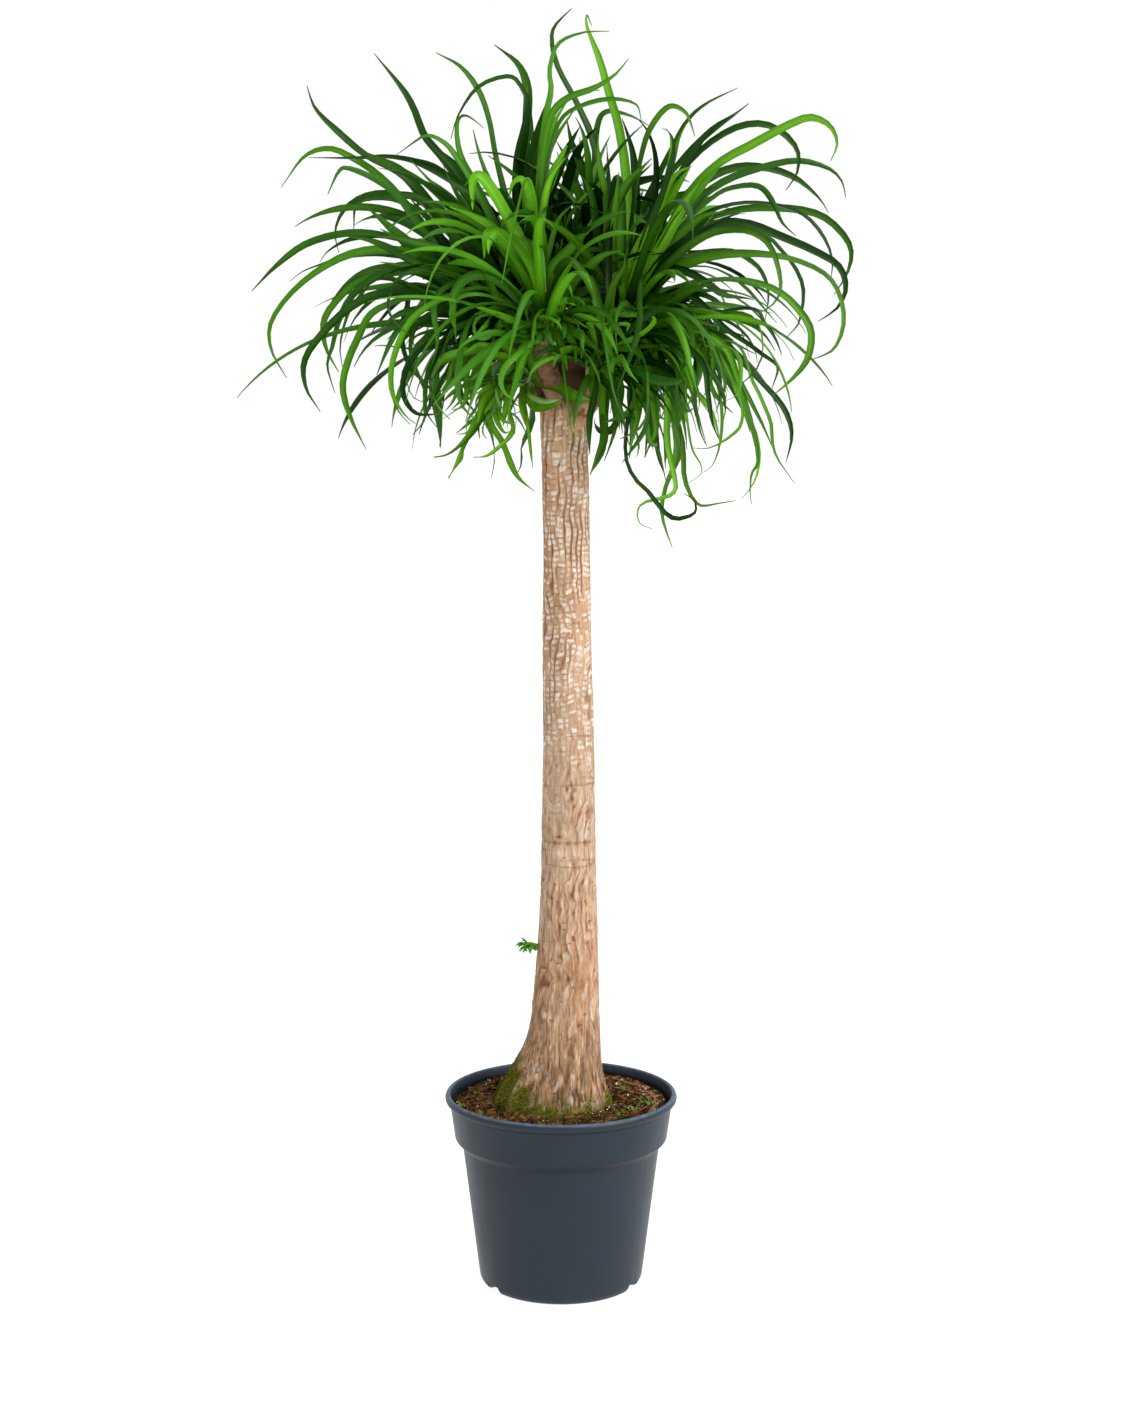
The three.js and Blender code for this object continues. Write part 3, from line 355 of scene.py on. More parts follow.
def stations(line, count, weight=0.0):
    """Points along a line, evenly by length with `weight` mm added for each radian of bend, and
    the part of the length run at each."""
    steps = np.diff(line, axis=0)
    long = np.sqrt((steps ** 2).sum(1))
    ways = unit(steps)
    bend = np.concatenate([[0], np.arccos(np.minimum(1, (ways[1:] * ways[:-1]).sum(1)))])
    length = np.concatenate([[0], np.cumsum(long)])
    run = np.concatenate([[0], np.cumsum(long + weight * bend)])
    s = run[-1] * np.arange(count + 1) / count
    points = np.stack([np.interp(s, run, line[:, k]) for k in range(3)], 1)
    return points, np.interp(s, run, length) / length[-1]


def blade_width(u):
    """Narrower where it clasps the core, then a long taper: (1 - u) to the power 0.7."""
    return (0.2 + 0.8 * np.maximum(0, 1 - u) ** 0.7) * (0.6 + 0.4 * np.minimum(1, u / 0.14))


def frames(leaf, count, weight=0.0):
    """Stations of a leaf with the way it runs, its width axis and its width at each. The width
    axis is level and across the leaf, rolled about the way by the leaf's roll and twist."""
    p, u = stations(leaf["line"], count, weight)
    way = unit(np.vstack([p[1:], p[-1:]]) - np.vstack([p[:1], p[:-1]]))
    roll = ((leaf["roll"] + leaf["twist"] * u) * RAD)[:, None]
    level = np.tile([0.0, -leaf.get("sign", 1), 0.0], (len(p), 1))
    if "turns" in leaf:
        turn = leaf["turns"][np.minimum(len(leaf["turns"]) - 1, (u * len(leaf["turns"])).astype(int))]
        level = np.stack([-np.sin(turn), np.cos(turn), 0 * turn], 1)
    across = unit(level - way * (level * way).sum(1, keepdims=True))
    side = across * np.cos(roll) + np.cross(way, across) * np.sin(roll)
    return p, u, way, side, np.maximum(2, leaf["width"] * blade_width(u))


def feelers(leaf):
    """Points over a blade, five across, that stand for it when room is sought."""
    length = np.sqrt((np.diff(leaf["line"], axis=0) ** 2).sum(1)).sum()
    p, _, _, side, width = frames(leaf, math.ceil(length / FEELER_STEP))
    k = np.array([-0.5, -0.25, 0, 0.25, 0.5])
    return (p[:, None] + side[:, None] * (k[None, :, None] * width[:, None, None])).reshape(-1, 3)


class Room:
    """Everything that stands already, in cells of one clearance, numbered row by row."""
    ROW, MIDDLE = 4096, 2000

    def __init__(self):
        self.cells = {}

    def keys(self, points):
        """Number of the cell of each point."""
        i = np.floor(points / CROSS_CLEAR).astype(int) + self.MIDDLE
        return ((i[:, 0] * self.ROW + i[:, 1]) * self.ROW + i[:, 2]).tolist()

    def add(self, owner, points):
        """Puts points in as the owner's."""
        for key, point in zip(self.keys(points), points.tolist()):
            self.cells.setdefault(key, []).append((owner, *point))

    def blocked(self, owner, root, points, own):
        """True where a point comes nearer than the clearance to what stands."""
        clear, bundle = own
        away = np.sqrt(((points - root) ** 2).sum(1)).tolist()
        near = [(i * self.ROW + j) * self.ROW + k
                for i in (-1, 0, 1) for j in (-1, 0, 1) for k in (-1, 0, 1)]
        for key, (x, y, z), far in zip(self.keys(points), points.tolist(), away):
            if far < CORE_REACH:
                continue
            for step in near:
                for other, a, b, c in self.cells.get(key + step, ()):
                    same = other == owner
                    if same and far < bundle:
                        continue
                    limit = clear if same else CROSS_CLEAR
                    if (x - a) ** 2 + (y - b) ** 2 + (z - c) ** 2 < limit * limit:
                        return True
        return False


def trunk_wave(a, z, rib):
    """The section's swing about its ellipse: two soft lobes that lean, and ribs as deep as rib."""
    return (1 + rib * np.cos(RIBS * a + 0.8) + 0.012 * np.sin(3 * a + z / 85)
            + 0.008 * np.sin(5 * a - z / 47))


def trunk_ring(row, angles, grow=0.0):
    """Ellipse of the section, waved by soft lobes and, on the flare, by eleven ribs."""
    z, middle, across, deep = row
    t = min(1, max(0, (420 - z) / 150))
    wave = trunk_wave(angles, z, t * t * (3 - 2 * t) * RIB_DEPTH)
    return np.stack([middle + (across * wave + grow) * np.cos(angles),
                     TRUNK_Y + (deep * wave + grow) * np.sin(angles),
                     np.full(len(angles), float(z))], 1)


def stub_path(name):
    """From inside the trunk's top, out and then straight up to the head's flat foot."""
    end, start = np.array(HEADS[name]["at"], float), np.array(HEADS[name]["start"], float)
    knee = np.array([end[0] + (start[0] - end[0]) * 0.25, end[1] + (start[1] - end[1]) * 0.25,
                     end[2] - (end[2] - start[2]) * 0.45])
    return np.array([start, start + (knee - start) * 0.5, knee, knee + (end - knee) * 0.55, end])


def wood_feelers():
    """Points over the trunk's upper part and the stubs."""
    angles = TURN * np.arange(TRUNK_SIDES) / TRUNK_SIDES
    rings = [trunk_ring(row, angles) for row in TRUNK_SECTIONS if row[0] > 1100]
    rings += [trunk_ring((z, 5.5, 33.5, 33), angles) for z in range(1050, TRUNK_TOP, 6)]
    for name, head in HEADS.items():
        for p in stations(stub_path(name), 14)[0]:
            rings += [p + ring_of(head["radius"] * r, 0, 12) for r in (0.6, 1)]
    return np.vstack(rings)


def grow_leaves():
    """All leaves that the solids hold: the read ones, each at the first depth that is clear, then
    those by rule. A read leaf with no room in the solids comes back apart, for a thin leaf."""
    room = Room()
    room.add("wood", wood_feelers())
    for name, head in HEADS.items():
        profile = SHOOT_PROFILE if name == "shoot" else CORE_PROFILE
        room.add(name, np.vstack([ring_of(r, h, 16) + head["at"] for r, h in profile]))
    random = Seeded(LEAF_SEED)
    leaves, left_out = [], []
    for route in LONG_LEAVES:
        head, width, depth, roll = route[:4]
        sign = 1 if route[4] >= grow_point(head)[0] else -1
        twist = sign * math.copysign(random.pick(READ_TWIST), roll)
        for shift in DEPTH_TRIES:
            leaf = dict(head=head, width=width, sign=sign, twist=twist, roll=roll * sign,
                        line=read_line(route, depth + shift))
            points = feelers(leaf)
            if not room.blocked(head, grow_point(head), points, READ_ROOM):
                room.add(head, points)
                leaves.append(leaf)
                break
        else:
            left_out.append(dict(leaf, width=0.6 * width, line=read_line(route, depth)))
    for head, count, turns, spans in RULE_LEAVES:
        made = 0
        for _ in range(count * 30):
            if made == count:
                break
            length, rise, fall = (random.pick(spans[k]) for k in (0, 2, 3))
            ease, turn, sweep = random.pick((0.8, 1.6)), random.pick(turns), random.pick((-22, 22))
            line, bends = rule_line(root_point(head, rise, turn * RAD), length, rise, fall, ease,
                                    turn, sweep)
            leaf = dict(head=head, width=random.pick(spans[1]), twist=random.pick((-64, 64)),
                        roll=random.pick((-25, 25)), line=line, turns=bends)
            points = feelers(leaf)
            if not room.blocked(head, grow_point(head), points, RULE_ROOM):
                room.add(head, points)
                leaves.append(leaf)
                made += 1
    return leaves, left_out


# ---------- meshes
class Shells:
    """Closed shells gathered for one mesh: corners, faces, a flat map and values at the corners."""

    def __init__(self):
        self.points, self.faces, self.maps, self.values, self.count = [], [], [], [], 0

    def tube(self, rings, across=None, along=None, **values):
        """Skin over rings (stations, corners, 3), each ring counter-clockwise about its way, with a
        fan to the middle of the first and the last ring. across and along are the flat map's
        numbers at each ring corner and at each station."""
        m, n, _ = rings.shape
        i, j = np.meshgrid(np.arange(m - 1), np.arange(n), indexing="ij")
        k = (j + 1) % n
        sides = np.stack([i * n + j, i * n + k, (i + 1) * n + k, (i + 1) * n + j], -1).reshape(-1, 4)
        j = np.arange(n)
        k = (j + 1) % n
        low = np.stack([0 * j + m * n, k, j], 1)
        high = np.stack([0 * j + m * n + 1, (m - 1) * n + j, (m - 1) * n + k], 1)
        points = np.vstack([rings.reshape(-1, 3), rings[0].mean(0), rings[-1].mean(0)])
        across = np.linspace(0, 1, n + 1) if across is None else np.asarray(across, float)
        along = np.linspace(0, 1, m) if along is None else np.asarray(along, float)
        a, b = along[:-1].repeat(n), along[1:].repeat(n)
        c, d = np.tile(across[:n], m - 1), np.tile(across[1:n + 1], m - 1)
        flat = np.stack([c, a, d, a, d, b, c, b], 1).reshape(-1, 2)
        ends = np.stack([np.repeat(across[:n], 6), np.zeros(6 * n)], 1)
        ends[:3 * n, 1], ends[3 * n:, 1] = along[0], along[-1]
        self.keep(points, [sides, low, high], np.vstack([flat, ends]), values)

    def keep(self, points, faces, flat, values):
        """Adds one shell's arrays to those gathered."""
        self.points.append(points)
        self.faces += [f + self.count for f in faces]
        self.maps.append(flat)
        self.values.append((len(points), values))
        self.count += len(points)

    def scatter(self, corners, faces, turns, middles, **values):
        """Copies of one small closed shape: corners (n, 3) turned and sized by (copies, 3, 3)
        matrices and set at (copies, 3) middles."""
        points = np.einsum("cij,nj->cni", turns, corners) + middles[:, None]
        copies, n = len(middles), len(corners)
        steps = (np.arange(copies) * n)[:, None, None]
        kinds = [(faces[None] + steps).reshape(-1, faces.shape[1])]
        spread = {key: np.repeat(value, n) if np.ndim(value) else value for key, value in values.items()}
        self.keep(points.reshape(-1, 3), kinds, np.zeros((kinds[0].size, 2)), spread)

    def piece(self, name, material, sharp=40):
        """Makes the mesh object, in metres at the origin, and rides it on the body. Its faces are
        smooth, parted at edges that bend by more than `sharp` degrees if that is not 0."""
        mesh = bpy.data.meshes.new(name)
        points = np.vstack(self.points) * MM
        sizes = np.concatenate([np.full(len(f), f.shape[1]) for f in self.faces])
        corners = np.concatenate([f.ravel() for f in self.faces]).astype(np.int32)
        mesh.vertices.add(len(points))
        mesh.vertices.foreach_set("co", points.astype(np.float32).ravel())
        mesh.loops.add(len(corners))
        mesh.loops.foreach_set("vertex_index", corners)
        mesh.polygons.add(len(sizes))
        starts = np.concatenate([[0], np.cumsum(sizes)[:-1]]).astype(np.int32)
        mesh.polygons.foreach_set("loop_start", starts)
        flat = mesh.uv_layers.new(name="flat")
        flat.data.foreach_set("uv", np.vstack(self.maps).astype(np.float32).ravel())
        for key in sorted({k for _, values in self.values for k in values}):
            data = mesh.attributes.new(key, "FLOAT", "POINT").data
            data.foreach_set("value", np.concatenate([
                np.broadcast_to(np.asarray(v.get(key, 0.0), float), (n,)) for n, v in self.values
            ]).astype(np.float32))
        mesh.update(calc_edges=True)
        mesh.polygons.foreach_set("use_smooth", np.ones(len(sizes), bool))
        if sharp:
            mesh.set_sharp_from_angle(angle=sharp * RAD)
        mesh.materials.append(material)
        obj = bpy.data.objects.new(name, mesh)
        bpy.context.scene.collection.objects.link(obj)
        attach(obj, BODY)
        return obj


def lattice(i, j, seed):
    """A number 0 to 1 for each cell, from the fraction of a large sine."""
    return np.mod(np.sin(i * 127.1 + j * 311.7 + seed * 74.7) * 43758.5453, 1.0)


def waves(u, v, seed, wrap=0):
    """Value noise: random numbers at whole cells, joined by smooth steps. u may wrap round."""
    i, j = np.floor(u), np.floor(v)
    a, b = u - i, v - j
    a, b = a * a * (3 - 2 * a), b * b * (3 - 2 * b)
    i1 = i + 1
    if wrap:
        i, i1 = np.mod(i, wrap), np.mod(i1, wrap)
    low = lattice(i, j, seed) * (1 - a) + lattice(i1, j, seed) * a
    high = lattice(i, j + 1, seed) * (1 - a) + lattice(i1, j + 1, seed) * a
    return low * (1 - b) + high * b


def smooth_step(x, low, high):
    """0 below low, 1 above high, 3 t^2 - 2 t^3 between. It falls where high is the smaller."""
    t = np.clip((x - low) / (high - low), 0, 1)
    return t * t * (3 - 2 * t)


def rounded(corners, radius, steps=4):
    """Outline with each inner corner turned by a short arc: a quadratic curve between the points
    that stand `radius` before and after it."""
    p = np.array(corners, float)
    out = [p[:1]]
    t = np.linspace(0, 1, steps + 1)[:, None]
    for a, b, c in zip(p[:-2], p[1:-1], p[2:]):
        r1 = min(radius, 0.45 * np.hypot(*(a - b)))
        r2 = min(radius, 0.45 * np.hypot(*(c - b)))
        start, end = b + (a - b) / np.hypot(*(a - b)) * r1, b + (c - b) / np.hypot(*(c - b)) * r2
        out.append(start * (1 - t) ** 2 + 2 * b * t * (1 - t) + end * t * t)
    return np.vstack(out + [p[-1:]])


# ---------- materials
def linear(value):
    """sRGB hex to the linear colour that a socket takes."""
    rgb = np.array([int(value[k:k + 2], 16) for k in (1, 3, 5)]) / 255
    rgb = np.where(rgb <= 0.04045, rgb / 12.92, ((rgb + 0.055) / 1.055) ** 2.4)
    return (*rgb.tolist(), 1.0)


def node(tree, kind, values=None, out=0):
    """Adds one shader node and gives one of its outputs. values name its settings or its inputs: a
    socket is linked, all else is set, and `stops` are a colour ramp's (place, colour) pairs."""
    made = tree.nodes.new("ShaderNode" + kind)
    for key, value in (values or {}).items():
        if isinstance(value, bpy.types.NodeSocket):
            tree.links.new(value, made.inputs[key])
        elif key == "stops":
            ramp = made.color_ramp
            while len(ramp.elements) < len(value):
                ramp.elements.new(0.5)
            for element, (place, colour) in zip(ramp.elements, value):
                element.position, element.color = place, colour
        elif isinstance(key, int) or key in made.inputs:
            made.inputs[key].default_value = value
        else:
            setattr(made, key, value)
    return made.outputs[out] if made.outputs else made


def material(name, build):
    """A new node material: build gives the shader, and adds its nodes with the function given."""
    made = bpy.data.materials.new(name)
    made.use_nodes = True
    tree = made.node_tree
    tree.nodes.clear()
    add = functools.partial(node, tree)
    add("OutputMaterial", {"Surface": build(add)})
    return made


def grey(level):
    """A colour with one level for all three."""
    return (level, level, level, 1.0)


def darker(colour, share):
    """The colour with a share of its light."""
    return (*(share * c for c in colour[:3]), 1.0)


def layered(add, colour, *layers):
    """Lays colours over the first, in order. A layer is how much there is of it, its colour and the
    way it is laid where that isn't plain mixing, each a socket or a fixed value."""
    for amount, over, *way in layers:
        colour = add("Mix", {"data_type": "RGBA", "blend_type": way[0] if way else "MIX",
                             0: amount, 6: colour, 7: over}, out=2)
    return colour


def leaf_blade(name, deep, bright, under, base):
    """Living strap leaf, grown: waxy and half gloss above, paler and duller below. Fine veins run
    its whole length 0.9 mm apart, and each leaf has its own green, which is what the eye reads. A
    painted fold of light and shade darkens its margins, lightens its middle and one half more than
    the other, and painted shade darkens the leaves that lie deep in the crown."""
    def build(add):
        across = add("SeparateXYZ", {0: add("UVMap", {"uv_map": "flat"})})
        along = across.node.outputs["Y"]
        tone, reach = (add("Attribute", {"attribute_name": key}, out=2) for key in ("tone", "reach"))
        place = add("TexCoord", out=3)
        veins = add("TexNoise", {"Scale": 1.0, "Detail": 3, "Roughness": 0.6, "Vector": add("CombineXYZ", {
            0: add("Math", {"operation": "MULTIPLY", 0: across, 1: 20}),
            1: add("Math", {"operation": "MULTIPLY", 0: along, 1: 9}),
            2: add("Math", {"operation": "MULTIPLY", 0: tone, 1: 37})})})
        cloud = add("TexNoise", {"Scale": 14, "Detail": 3, "Vector": place})
        shade = add("Math", {
            "operation": "MULTIPLY_ADD", "use_clamp": True, 0: cloud, 1: 0.55,
            2: add("Math", {"operation": "MULTIPLY_ADD", 0: tone, 1: 1.1, 2: -0.52})})
        clasp = add("ValToRGB", {"stops": [(0.0, grey(1)), (0.09, grey(0))], 0: reach})
        streak = add("ValToRGB", {"stops": [(0.3, grey(0.8)), (0.72, grey(1.25))], 0: veins})
        # Painted light and shade of a folded blade: darker margins, a lighter middle, one half lighter.
        away = add("Math", {"operation": "ABSOLUTE", 0: across})
        margin = add("Math", {"operation": "ABSOLUTE", 0: add("Math", {
            "operation": "MULTIPLY_ADD", 0: away, 1: 2, 2: -1})})
        lit = add("Math", {"operation": "MULTIPLY",
                           0: add("MapRange", {0: margin, 3: 1.18, 4: 0.72}),
                           1: add("MapRange", {0: away, 3: 0.86, 4: 1.14})})
        # Painted shade deep in the crown: leaves near its middle darken unless their own tone is high.
        inmost = add("VectorMath", {"operation": "DISTANCE", 0: place, 1: CROWN_MIDDLE * MM}, out=1)
        painted_crown_shade = add("Math", {
            "operation": "MAXIMUM", 0: add("MapRange", {0: inmost, 1: 0.05, 2: 0.21, 3: 0.25}),
            1: add("Math", {"operation": "MULTIPLY", "use_clamp": True, 0: tone, 1: 1.2})})
        below = add("Math", {"operation": "LESS_THAN", 0: across, 1: 0.0})
        tip = add("ValToRGB", {"stops": [(0.975, grey(0)), (1.0, grey(1))], 0: reach})
        dry = add("Math", {"operation": "LESS_THAN", 0: tone, 1: 0.3})
        green = layered(
            add, deep, (shade, bright), (clasp, base), (1.0, streak, "MULTIPLY"),
            (1.0, add("Math", {"operation": "MULTIPLY", 0: lit, 1: painted_crown_shade}), "MULTIPLY"),
            (add("Math", {"operation": "MULTIPLY", 0: below, 1: 0.4}), under),
            (add("Math", {"operation": "MULTIPLY", 0: tip, 1: dry}), linear("#8A7340")))
        return add("BsdfPrincipled", {
            "IOR": 1.45, "Specular IOR Level": 0.3, "Specular Tint": (0.8, 1.0, 0.6, 1.0),
            "Base Color": green, "Roughness": add("MapRange", {0: veins, 3: 0.26, 4: 0.44}),
            "Normal": add("Bump", {"Strength": 0.35, "Distance": 0.0006, "Height": veins})})
    return material(name, build)


# Shade lines of the pot: height and reach in metres, and how much light is left in the middle.
SHADE_LINES = ((0.2695, 0.003, 0.3), (0.2066, 0.0022, 0.4), (0.2135, 0.0078, 0.45))


def moulded_plastic(colour, scuff_and_highlight_colour):
    """Injection moulded polypropylene, satin from the mould: even slate grey with a faint grain of
    1 mm, pale scuffs at the very foot, a painted highlight along the top of the rim and a little
    dried soil near the foot. The wall darkens in soft lines by height, which are painted shade
    under the rim and at the step."""
    def build(add):
        place = add("TexCoord", out=3)
        cloud = add("TexNoise", {"Scale": 9, "Detail": 5, "Roughness": 0.6, "Vector": place})
        streak = add("TexNoise", {"Scale": 1, "Detail": 4, "Vector": add("Mapping", {
            "Scale": (90, 90, 6), 0: place})})
        grain = add("TexNoise", {"Scale": 900, "Detail": 2, "Vector": place})
        # Where the edge value is high the wall turns paler: a painted highlight along the rim's top, and
        # scuffs at the very foot.
        scuff_and_highlight = add("Math", {"operation": "MULTIPLY", "use_clamp": True,
                           0: add("Attribute", {"attribute_name": "edge"}, out=2),
                           1: add("MapRange", {0: streak, 1: 0.35, 2: 0.7, 3: 0.45, 4: 0.9})})
        dust = add("Math", {"operation": "MULTIPLY", "use_clamp": True,
                            0: add("Attribute", {"attribute_name": "dust"}, out=2),
                            1: add("MapRange", {0: cloud, 1: 0.45, 2: 0.75})})
        height = add("SeparateXYZ", {0: place}, out=2)
        lines = []
        for middle, half, low in SHADE_LINES:
            off = add("Math", {"operation": "ABSOLUTE", 0: add("Math", {
                "operation": "SUBTRACT", 0: height, 1: middle})})
            lines.append((1.0, add("MapRange", {0: off, 2: half, 3: low}), "MULTIPLY"))
        body = layered(
            add, colour, (add("MapRange", {0: cloud, 1: 0.3, 2: 0.7}), darker(colour, 0.82)),
            (scuff_and_highlight, scuff_and_highlight_colour), (dust, linear("#6A5442")), *lines)
        return add("BsdfPrincipled", {
            "IOR": 1.49, "Specular IOR Level": 0.28, "Base Color": body,
            "Roughness": add("MapRange", {0: streak, 1: 0.2, 2: 0.8, 3: 0.36, 4: 0.5}),
            "Normal": add("Bump", {"Strength": 0.12, "Distance": 0.0004, "Height": grain})})
    return material("moulded_polypropylene", build)


def peat(name, dark, light):
    """Peat mixed with composted bark: crumbs of 2 to 3 mm in two browns, quite matt and damp in
    the hollows, in patches some 26 mm wide, with grey specks of sand."""
    def build(add):
        place = add("TexCoord", out=3)
        crumbs = add("TexVoronoi", {"Scale": 330, "Vector": place}, out=1)
        fine = add("TexNoise", {"Scale": 520, "Detail": 6, "Roughness": 0.75, "Vector": place})
        patch = add("TexNoise", {"Scale": 38, "Detail": 5, "Vector": place})
        mixed = add("Math", {"operation": "MULTIPLY_ADD", 0: add("SeparateColor", {0: crumbs}), 1: 0.5,
                             2: add("MapRange", {0: patch, 1: 0.3, 2: 0.7, 3: -0.1, 4: 0.6})})
        grit = add("ValToRGB", {"stops": [(0.3, grey(0.35)), (0.65, grey(1.25))], 0: fine})
        brown = layered(add, add("ValToRGB", {
            "stops": [(0.1, dark), (0.55, light), (0.97, linear("#8E7355"))], 0: mixed}),
            (0.75, grit, "MULTIPLY"))
        return add("BsdfPrincipled", {
            "Roughness": 0.95, "Specular IOR Level": 0.06, "Base Color": brown,
            "Normal": add("Bump", {"Strength": 0.9, "Distance": 0.0022, "Height": fine})})
    return material(name, build)


# The bark's upright noises: cells to a metre across and along, octaves and their roughness.
BARK_FIBRE = ((620, 620, 70), 6, 0.65)
BARK_STRAND = ((250, 250, 26), 3, 0.6)
BARK_STAIN = ((26, 26, 7), 4, 0.5)


def corky_bark(pale, tan, fissure, moss):
    """Old palm bark, grown and split: tan cork with corky pale plates on the upper trunk, dark
    upright cracks between them, fine ridges lower down and moss at the foot. The mesh gives the
    plates, cracks, scars and moss as values; those of the plates also hold painted highlights
    beside the cracks and on the ridges' crests, and those of the cracks painted shade in the
    ridges' hollows. The nodes add fibres 1.6 mm apart, pits of 2.4 mm, stains and, strongest on
    the flare, dark strands 4 mm apart. The middle of the trunk is greyer and the flare browner."""
    def build(add):
        place = add("TexCoord", out=3)
        crack, plate, green, scar = (add("Attribute", {"attribute_name": key}, out=2)
                                     for key in ("crack", "plate", "moss", "scar"))
        fibre, strand, stain = (add("TexNoise", {
            "Scale": 1, "Detail": detail, "Roughness": rough,
            "Vector": add("Mapping", {"Scale": scale, 0: place})
        }) for scale, detail, rough in (BARK_FIBRE, BARK_STRAND, BARK_STAIN))
        pits = add("TexNoise", {"Scale": 420, "Detail": 3, "Vector": place})
        height = add("SeparateXYZ", {0: place}, out=2)
        middle = add("ValToRGB", {"stops": [(0.48, grey(0)), (0.62, grey(0.55)), (0.86, grey(0.55)),
                                            (1.0, grey(0))], 0: height})
        flare = add("MapRange", {0: height, 1: 0.46, 2: 0.3, 4: 0.75})
        low = add("MapRange", {0: height, 1: 0.46, 2: 0.3, 3: 0.2})
        strands = add("ValToRGB", {"stops": [(0.36, grey(0.22)), (0.5, grey(0.97)), (0.64, grey(1.55))],
                                   0: strand})
        fibres = add("ValToRGB", {"stops": [(0.3, grey(0.6)), (0.64, grey(1.15))], 0: fibre})
        hairs = add("ValToRGB", {"stops": [(0.35, grey(0.35)), (0.62, grey(1.3))], 0: fibre})
        fuzz = layered(add, moss, (add("MapRange", {0: pits, 1: 0.35, 2: 0.65}), linear("#8A8A1C")),
                       (0.8, hairs, "MULTIPLY"))
        edge = add("Math", {
            "operation": "MULTIPLY_ADD", "use_clamp": True, 1: 0.9, 2: green,
            0: add("Math", {"operation": "SUBTRACT", 0: fibre, 1: 0.5})})
        cover = add("Math", {
            "operation": "MULTIPLY", 0: add("MapRange", {0: edge, 1: 0.36, 2: 0.8}),
            1: add("Math", {"operation": "GREATER_THAN", 0: green, 1: 0.05})})
        # The values of the plates bring painted highlights along with the cork, and those of the cracks
        # painted shade along with the cracks.
        wood = layered(
            add, tan, (add("MapRange", {0: stain, 1: 0.32, 2: 0.68}), linear("#AC805B")),
            (middle, linear("#C9AC91")), (flare, linear("#A07D5C")), (plate, pale),
            (low, strands, "MULTIPLY"), (0.85, fibres, "MULTIPLY"),
            (add("MapRange", {0: pits, 1: 0.62, 2: 0.72, 4: 0.5}), fissure),
            (crack, fissure), (scar, linear("#6B4C38")), (cover, fuzz))
        return add("BsdfPrincipled", {
            "Roughness": 0.86, "Specular IOR Level": 0.3, "Base Color": wood,
            "Normal": add("Bump", {"Strength": 0.55, "Distance": 0.0012, "Height": fibre})})
    return material("corky_bark", build)


def speckled(name, dark, light, scale, roughness, height=0.0004):
    """A small natural bit, broken or grown: two tones of its own stuff in grains of 1000 / scale
    mm, matt, so that no two bits look alike."""
    def build(add):
        grains = add("TexNoise", {"Scale": scale, "Detail": 4, "Vector": add("TexCoord", out=3)})
        mixed = add("Math", {"operation": "MULTIPLY_ADD", 1: 0.6,
                             0: add("Attribute", {"attribute_name": "tone"}, out=2),
                             2: add("MapRange", {0: grains, 1: 0.3, 2: 0.7, 3: -0.1, 4: 0.5})})
        return add("BsdfPrincipled", {
            "Roughness": roughness, "Specular IOR Level": 0.12,
            "Base Color": layered(add, dark, (mixed, light)),
            "Normal": add("Bump", {"Strength": 0.5, "Distance": height, "Height": grains})})
    return material(name, build)


# ---------- the plant's shapes
def rod(points, radii, sides):
    """Rings round a path: at each point a circle of the given radius across the way there."""
    way = unit(np.vstack([points[1:], points[-1:]]) - np.vstack([points[:1], points[:-1]]))
    lead = np.where(np.abs(way[:, 2:]) > 0.9, [0.0, 1.0, 0.0], [0.0, 0.0, 1.0])
    u = unit(np.cross(lead, way))
    v = np.cross(way, u)
    a = TURN * np.arange(sides) / sides
    r = np.asarray(radii, float)[:, None, None]
    return points[:, None] + r * (np.cos(a)[None, :, None] * u[:, None]
                                  + np.sin(a)[None, :, None] * v[:, None])


# A blade's ring of points: the place across, of half its width, and whether it is underneath.
ACROSS = np.array([1, 0.5, 0, -0.5, -1, -0.5, 0, 0.5])
BELOW = np.array([0, 1, 1, 1, 0, 0, 0, 0])
BELOW_THIN = np.array([0, 1, 0, 0])
# A radian of bend draws stations to it as this many mm of length do.
BEND_WEIGHT = 40
# Degrees that a blade rocks each way.
ROCK = 26


def blade_shell(shells, leaf, tone, count, thin=False):
    """A strap blade: eight points to a station, or four where it is thin. Across the blade the top
    is a shallow channel, 0.15 of the width times the square of the place across, and the underside
    lies below it by a thickness that grows with the width and fades to nothing at the margins. It
    rocks about its own line as a sine. Its width is blade_width to the power 0.66, drawn in over
    the last sixth. A full blade holds its width longer, (1 - u) to the power 0.25, and draws in
    over the last quarter."""
    p, u, way, side, _ = frames(leaf, count, BEND_WEIGHT)
    rock = (leaf.get("rock", ROCK) * np.sin(5.5 * u + 40 * tone) * RAD)[:, None]
    side = side * np.cos(rock) + np.cross(way, side) * np.sin(rock)
    shape = 1.06 * blade_width(u) ** 0.66 * np.minimum(1, (1 - u) / 0.17) ** 0.7
    if leaf.get("full"):
        clasp = 0.55 + 0.45 * np.minimum(1, u / 0.2)
        shape = clasp * np.maximum(0, 1 - u) ** 0.25 * np.minimum(1, (1 - u) / 0.24) ** 0.6
    width = np.maximum(1.1, leaf["width"] * shape)[:, None]
    up = np.cross(side, way)[:, None]
    across, below = (ACROSS[::2], BELOW_THIN) if thin else (ACROSS, BELOW)
    thick = (0.35 + 0.06 * width) * (1 - 0.5 * across ** 2)
    lift = width * (0.15 * across ** 2 - 0.05) - below * thick
    rings = p[:, None] + side[:, None] * (0.5 * width * across)[..., None] + up * lift[..., None]
    long = np.sqrt((np.diff(leaf["line"], axis=0) ** 2).sum(1)).sum()
    flat = np.linspace(-1, 1, len(across) + 1)
    shells.tube(rings, flat, u * long * MM, tone=tone,
                reach=np.concatenate([u.repeat(len(across)), [0.0, 1.0]]))


